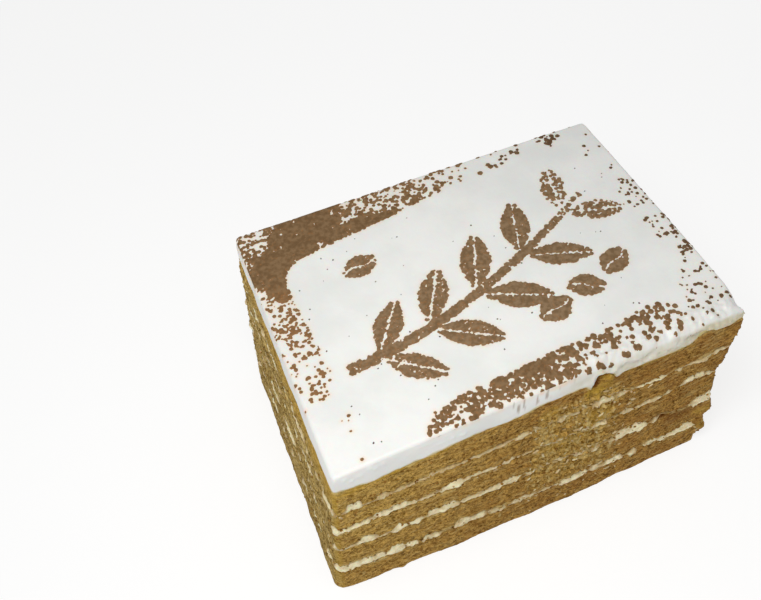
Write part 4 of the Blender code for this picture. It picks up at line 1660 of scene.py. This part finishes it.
@dataclass
class Icing:
    """The white icing slab and the cocoa on it."""

    shades: Shades
    layers: Layers
    dusting: Dusting = field(default_factory=Dusting)
    block: Block = field(default_factory=Block)
    spacing: float = 0.36
    rows: int = 16
    sharp: float = 0.7
    soft: float = 2.8
    under: float = 51.5
    map_spacing: float = 0.16
    cocoa_spacing: float = 0.22
    cocoa_height: float = 0.18
    cocoa_slope: float = 0.25
    cocoa_thickness: float = 0.25
    stencilled: Finish = CocoaFinish(deep=colour(118, 94, 66), light=colour(142, 117, 88))
    pimples: tuple = (
        (1.5, 55.6, 0.8), (3.6, 55.1, 0.6), (6.8, 54.0, 0.8), (9.4, 55.4, 0.7), (10.6, 54.4, 0.55),
        (12.5, 54.9, 0.5), (28.5, 53.6, 0.6), (31, 53.2, 0.7), (5.2, 53.4, 0.4),
    )

    def top(self, x: np.ndarray, y: np.ndarray, u: np.ndarray, v: np.ndarray) -> np.ndarray:
        """The height of the icing's top, rounded off towards its edge.

        Args:
            x: Measures to the right.
            y: Measures to the back.
            u: Shares to the right.
            v: Shares to the back.

        Returns:
            The heights.
        """
        flat = in_plan(x, y)
        long, wide = self.block.length, self.block.width
        gap = np.minimum.reduce([u * long, (1 - u) * long, v * wide, (1 - v) * wide])
        torn = smooth_step(57, 66, x) * (1 - smooth_step(2, 9, y))
        radius = self.sharp + (self.soft - self.sharp) * torn * (1 + 0.35 * ripple(flat, 4.5, 60, 2))
        inward = np.clip(1 - gap / radius, 0, 1)
        drop = radius * (1 - np.sqrt(1 - inward * inward * 0.96)) * 0.8
        wave = 0.14 * ripple(flat, 16, 61) + 0.05 * ripple(flat, 5, 62)
        lumps = 0.8 * np.abs(ripple(flat * (0.6, 1, 1), 4.0, 63)) + 0.4 * np.abs(ripple(flat, 1.5, 59, 2))
        fluff = torn * (0.45 - 1.4 * lumps) * (1 - smooth_step(2, 7.5, y))
        return self.block.height - 0.15 + wave + fluff - drop

    def side_relief(self, wall: LayerWall) -> np.ndarray:
        """How far the icing's sides stand out: flat on the left, torn on the right of the front.

        Args:
            wall: The slab's points before any relief.

        Returns:
            The distances outward.
        """
        points, share = wall.points, wall.share
        torn = smooth_step(57, 66, wall.x) * wall.front
        out = 0.12 * ripple(points, 4, 64) + 0.05 * ripple(points * (0.3, 0.3, 1), 1, 65)
        lumps = np.abs(ripple(points * (0.6, 0.6, 1), 3.4, 66))
        lumps = lumps + 0.45 * np.abs(ripple(points, 1.2, 58, 2))
        out += torn * (0.75 - 1.1 * lumps)
        out += 0.18 * np.sin(np.pi * np.clip(share, 0, 1))
        for at, height, size in self.pimples:
            far = ((wall.x - at) ** 2 + (wall.z - height) ** 2) / size**2
            out += wall.front * 0.28 * np.exp(-far)
        tucked = smooth_step(-0.4 + 0.3 * torn, 0.12 + 0.4 * torn, share)
        return np.where(wall.side, out * smooth_step(-0.1, 0.25, 1 - share) * tucked, 0)

    def stain_slab(
        self, mesh: bpy.types.Mesh, wall: LayerWall, x: np.ndarray, y: np.ndarray, cocoa: CocoaMap
    ) -> None:
        """Stores where the slab is warm, dripped on, greasy, or tinted round the cocoa.

        Args:
            mesh: The slab's mesh.
            wall: Its points before any relief.
            x: Their measures to the right, with the relief.
            y: Their measures to the back, with the relief.
            cocoa: Where the cocoa lies.
        """
        points, front, side = wall.points, wall.front, wall.side
        fallen = cocoa.at(x, y)
        clear = np.minimum(fallen[Fall.SPILLED], fallen[Fall.STENCILLED])
        halo = np.clip(0.75 + 0.5 * ripple(in_plan(x, y), 1.8, 67), 0, 1)
        halo = np.exp(-np.clip(clear, 0, 9) / 0.35) * halo
        halo = halo * 0.6 * smooth_step(54.5, 56, wall.z) * (1 - 0.4 * smooth_step(40, 90, x))
        above = (wall.z - wall.low) * side + 9 * ~side
        grease = 0.8 * (1 - smooth_step(0.1, 0.8, above + 0.45 * ripple(points, 2.2, 68)))
        drips = smooth_step(0.35, 0.9, ripple(points * (1, 1, 0.12), 0.7, 70, 2))
        drips = drips * smooth_step(0.8, 3.5, above)
        drips = 0.7 * drips * front * smooth_step(36, 42, x) * (1 - smooth_step(54, 60, x)) * side
        # Warmer and darker on the right of the front, most towards the bottom of the side, and a little
        # on the right side.
        warm_right = front * smooth_step(50, 60, x) * (0.45 + 0.55 * smooth_step(60, 95, x)) * side
        warm_right = warm_right * (1.15 - 0.5 * smooth_step(1, 5, above))
        warm_right = warm_right + 0.3 * smooth_step(0.5, 0.9, wall.out_x) * side
        warm = np.clip(warm_right + 0.5 * ripple(points, 2.0, 72, 2) * warm_right, 0, 1)
        for name, values in {"halo": halo, "drip": drips, "grease": grease, "warm": warm}.items():
            set_attribute(mesh, name, values)

    def slab(self, cocoa: CocoaMap) -> bpy.types.Object:
        """The icing itself.

        Args:
            cocoa: Where the cocoa lies, which tints the icing round it.

        Returns:
            The piece.
        """
        block, layers = self.block, self.layers
        bm = unit_sheet(block, self.spacing, 1)
        rim = [edge for edge in bm.edges if edge.is_boundary]
        close_end(bm, grow_rows(bm, rim, self.rows, Vector((0, 0, -1 / self.rows))))
        bmesh.ops.recalc_face_normals(bm, faces=bm.faces)
        piece = new_object("icing_slab", bm, ("icing",))
        u, v, share = coordinates(piece.data).T
        side = on_side(u, v)
        along = np.where(side, block.walk(u, v), 0)
        x, y, _, _ = block.place(u, v, np.full_like(u, block.height))
        top = self.top(x, y, u, v)
        seam = np.where(side, layers.icing_seam(along) - 0.05, self.under)
        z = seam + (top - seam) * share
        x, y, out_x, out_y = block.place(u, v, z)
        wall = LayerWall(x, y, z, out_x, out_y, along, share, side, seam, top)
        out = self.side_relief(wall)
        x, y = x + out_x * out, y + out_y * out
        x = x + layers.cut.edge(x, y, z) * side
        set_coordinates(piece.data, block.to_frame(x, y, z))
        self.stain_slab(piece.data, wall, x, y, cocoa)
        piece.data.materials.append(IcingFinish().material("icing", self.shades))
        return piece

    def cocoa(
        self, name: str, falls: tuple[Fall, ...], finish: Finish, cocoa: CocoaMap
    ) -> bpy.types.Object:
        """Some of the cocoa, as thin caked patches that lie on the icing.

        Args:
            name: The piece's name.
            falls: The sorts of grain that it is made of.
            finish: Its finish.
            cocoa: Where the cocoa lies.

        Returns:
            The piece.
        """
        block = self.block
        bm = unit_sheet(block, self.cocoa_spacing, 0)
        bm.verts.ensure_lookup_table()
        u, v, _ = np.array([vert.co for vert in bm.verts]).T
        x, y, _, _ = block.place(u, v, np.full_like(u, block.height))
        fallen = cocoa.at(x, y)
        bare = np.minimum.reduce([fallen[fall] for fall in falls]) > self.cocoa_slope + 0.1
        gone = [face for face in bm.faces if all(bare[vert.index] for vert in face.verts)]
        bmesh.ops.delete(bm, geom=gone, context="FACES")
        piece = new_object(name, bm, ())
        u, v, _ = coordinates(piece.data).T
        x, y, _, _ = block.place(u, v, np.full_like(u, block.height))
        fallen = cocoa.at(x, y)
        far = np.minimum.reduce([fallen[fall] for fall in falls])
        share = np.clip(-far / self.cocoa_slope, -1.3, 1)
        height = self.cocoa_height * np.where(share > 0, np.sqrt(np.clip(share, 0, 1)), share)
        height = height + 0.02 * ripple(in_plan(x, y), 0.7, 69)
        set_coordinates(piece.data, block.to_frame(x, y, self.top(x, y, u, v) + height))
        left = (1 - smooth_step(8, 12, x)) * (1 - smooth_step(44, 52, y))
        edge = 0.8 * (1 - smooth_step(-0.25, 0.02, -far - 0.2)) + 0.3 * left
        burnt = 0.85 * smooth_step(0.2, 0.5, fallen[falls[0]] - np.maximum(far, 0))
        if Fall.SPILLED in falls:
            burnt = np.maximum(burnt, 0.4 * smooth_step(88, 94, x + 0.6 * (y - 30) * (y > 30)))
        set_attribute(piece.data, "edge", np.clip(edge, 0, 1))
        set_attribute(piece.data, "burnt", burnt)
        solid = piece.modifiers.new("thickness", "SOLIDIFY")
        solid.thickness = self.cocoa_thickness * MM
        solid.offset = -1
        piece.data.materials.append(finish.material(name, self.shades))
        return piece

    def build(self) -> list[bpy.types.Object]:
        """Builds the slab and the cocoa.

        Returns:
            The pieces.
        """
        cocoa = self.dusting.cocoa_map(self.map_spacing)
        return [
            self.slab(cocoa),
            self.cocoa("cocoa_spill", (Fall.SPILLED, Fall.STRAY), CocoaFinish(), cocoa),
            self.cocoa("cocoa_sprig", (Fall.STENCILLED,), self.stencilled, cocoa),
        ]


@dataclass
class Litter:
    """Loose crumbs and flecks of cream that the knife left on the four sides."""

    shades: Shades
    layers: Layers
    crumbs: int = 1700
    flecks: int = 260
    crumb_size: tuple[float, float] = (0.15, 0.42)
    fleck_size: tuple[float, float] = (0.35, 1.3)
    jitter: float = 0.14
    seed: int = 8

    def on_wall(self, along: np.ndarray, z: np.ndarray) -> tuple[np.ndarray, np.ndarray]:
        """Places on the torn sides, and the way out at each.

        Args:
            along: Distances walked round the block.
            z: Heights.

        Returns:
            The places in the frame and the ways out, one row each.
        """
        block, cut = self.layers.block, self.layers.cut
        x, y, out_x, out_y = block.place(*block.rim(along), z)
        x = x + cut.edge(x, y, z)
        out = cut.relief(Wall(x, y, z, out_x, out_y, along))
        places = block.to_frame(x + out_x * out, y + out_y * out, z)
        return places, in_plan(out_x, out_y)

    def scatter(
        self, name: str, spots: tuple[np.ndarray, ...], sizes: np.ndarray, detail: int
    ) -> bpy.types.Object:
        """Sets small lumps on the sides.

        Args:
            name: The piece's name.
            spots: Their walks round the block and their heights.
            sizes: Their half widths along, up and out of the side, one row each.
            detail: 1 for lumps of 20 faces, 2 for 80.

        Returns:
            The piece.
        """
        draw = random.Random(self.seed)
        bm = bmesh.new()
        for place, way, size in zip(*self.on_wall(*spots), sizes):
            turn = Vector(way).to_track_quat("Z", "Y").to_matrix().to_4x4()
            spin = Matrix.Rotation(draw.gauss(0, 0.7), 4, "Z")
            scale = Matrix.Diagonal((*(size * MM), 1))
            lump = Matrix.Translation(place) @ turn @ spin @ scale
            bmesh.ops.create_icosphere(bm, subdivisions=detail, radius=1, matrix=lump)
        piece = new_object(name, bm, ())
        points = coordinates(piece.data)
        shifts = [ripple(points / MM, 0.45, 100 + axis, 2) for axis in range(3)]
        set_coordinates(piece.data, points + self.jitter * MM * np.stack(shifts, axis=-1))
        return piece

    def loose_crumbs(self, draw: np.random.Generator) -> bpy.types.Object:
        """Crumbs on every side, most of them on the front.

        Args:
            draw: What chance is drawn from.

        Returns:
            The piece.
        """
        block, count = self.layers.block, self.crumbs
        on_front = draw.random(count) < 0.6
        front = draw.uniform(0, block.length, count)
        along = np.where(on_front, front, draw.uniform(block.length, block.round_trip, count))
        half = draw.uniform(*self.crumb_size, count)
        sizes = np.stack([half, half * 0.8, half * 0.75], axis=-1)
        spots = along, draw.uniform(0.6, 49, count)
        piece = self.scatter("loose_crumbs", spots, sizes, 1)
        piece.data.materials.append(SpongeFinish().material("loose crumb", self.shades))
        return piece

    def cream_flecks(self, draw: np.random.Generator) -> bpy.types.Object:
        """Flecks of cream near the seams, and wider about where the front is torn.

        Args:
            draw: What chance is drawn from.

        Returns:
            The piece.
        """
        block, seams, count = self.layers.block, self.layers.seams, self.flecks
        torn = draw.random(count) < 0.6
        at_tear = draw.uniform(48, 75, count)
        along = np.where(torn, at_tear, draw.uniform(0, block.round_trip, count))
        lines = np.stack([seam.plain_line(along) for seam in seams], axis=-1)
        nearest = lines[np.arange(count), draw.integers(0, len(seams), count)]
        z = np.clip(nearest + draw.normal(0, 1, count) * np.where(torn, 3.5, 1.3), 1, 46)
        half = draw.uniform(*self.fleck_size, count) * draw.uniform(0.4, 1, count)
        sizes = np.stack([half, half * 0.27 + 0.05, half * 0.15 + 0.1], axis=-1)
        piece = self.scatter("cream_flecks", (along, z), sizes, 2)
        body = 0.34 + 0.3 * ripple(coordinates(piece.data) / MM, 2.2, 9)
        set_attribute(piece.data, "body", np.clip(body, 0.05, 0.9))
        piece.data.materials.append(CreamFinish().material("cream fleck", self.shades))
        return piece

    def build(self) -> list[bpy.types.Object]:
        """Builds the crumbs and the flecks.

        Returns:
            The pieces.
        """
        draw = np.random.default_rng(self.seed)
        return [self.loose_crumbs(draw), self.cream_flecks(draw)]


@dataclass(frozen=True)
class Studio:
    """The camera at the photo's angle, a pale floor and soft light.

    The eye is in millimetres in the frame, and the lamp's place, aim and size are in metres.
    """

    eye: tuple = (-64.8, -134.88, 238.54)
    azimuth: float = math.radians(-17.494)
    elevation: float = math.radians(51.703)
    roll: float = math.radians(-5.761)
    lens: float = 47.37
    sensor: float = 36.0
    lamp_place: tuple = (-0.065, -0.07, 0.25)
    lamp_aim: tuple = (0, 0, 0.04)
    lamp_size: float = 0.1
    lamp_power: float = 0.34
    sky: float = 0.37
    floor_light: float = 0.77
    white: tuple = (1, 1, 1, 1)

    def camera(self) -> None:
        """Places the camera."""
        level = math.cos(self.elevation)
        across, ahead = math.sin(self.azimuth), math.cos(self.azimuth)
        back = Vector((across * level, -ahead * level, math.sin(self.elevation)))
        right = Vector((ahead, across, 0))
        turn = Matrix((right, back.cross(right), back)).transposed()
        turn = turn @ Matrix.Rotation(self.roll, 3, "Z")
        data = bpy.data.cameras.new("camera")
        data.lens, data.sensor_width = self.lens, self.sensor
        data.clip_start, data.clip_end = 0.01, 20
        camera = bpy.data.objects.new("camera", data)
        camera.matrix_world = Matrix.Translation(Vector(self.eye) * MM) @ turn.to_4x4()
        bpy.context.scene.collection.objects.link(camera)
        bpy.context.scene.camera = camera

    def lamp(self) -> None:
        """Places a soft square lamp above the front left."""
        data = bpy.data.lights.new("key", "AREA")
        data.size, data.energy = self.lamp_size, self.lamp_power
        lamp = bpy.data.objects.new("key", data)
        turn = (Vector(self.lamp_aim) - Vector(self.lamp_place)).to_track_quat("-Z", "Y")
        lamp.matrix_world = Matrix.Translation(self.lamp_place) @ turn.to_matrix().to_4x4()
        bpy.context.scene.collection.objects.link(lamp)

    def floor(self) -> None:
        """Lays a wide pale floor, which glows a little so that it stays white in the picture."""
        bm = bmesh.new()
        bmesh.ops.create_grid(bm, x_segments=1, y_segments=1, size=3)
        mesh = bpy.data.meshes.new("floor")
        bm.to_mesh(mesh)
        bm.free()
        material, graph, shader, place = new_material("floor")
        cloud = graph.noise(place, 3.0, detail=2, roughness=0.5)
        settings = {
            "Base Color": graph.mix(cloud, colour(138, 138, 137), colour(144, 144, 143)),
            "Roughness": 0.8,
            "Emission Color": self.white,
            "Emission Strength": self.floor_light,
        }
        for key, value in settings.items():
            graph.feed(value, shader.inputs[key])
        mesh.materials.append(material)
        floor = bpy.data.objects.new("floor", mesh)
        bpy.context.scene.collection.objects.link(floor)

    def build(self) -> None:
        """Builds the studio."""
        self.camera()
        self.floor()
        self.lamp()
        world = bpy.data.worlds.new("studio")
        world.use_nodes = True
        sky = world.node_tree.nodes["Background"]
        sky.inputs["Color"].default_value = self.white
        sky.inputs["Strength"].default_value = self.sky
        bpy.context.scene.world = world
        bpy.context.scene.view_settings.view_transform = "Standard"


def main() -> None:
    """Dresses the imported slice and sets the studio."""
    logging.basicConfig(level=logging.INFO, format="%(name)s: %(message)s")
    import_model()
    Studio().build()
    shades = Shades()
    layers = Layers(shades)
    for part in (layers, Icing(shades, layers), Litter(shades, layers)):
        for piece in part.build():
            log.info("%s: %d points", piece.name, len(piece.data.vertices))


if __name__ == "__main__":
    main()
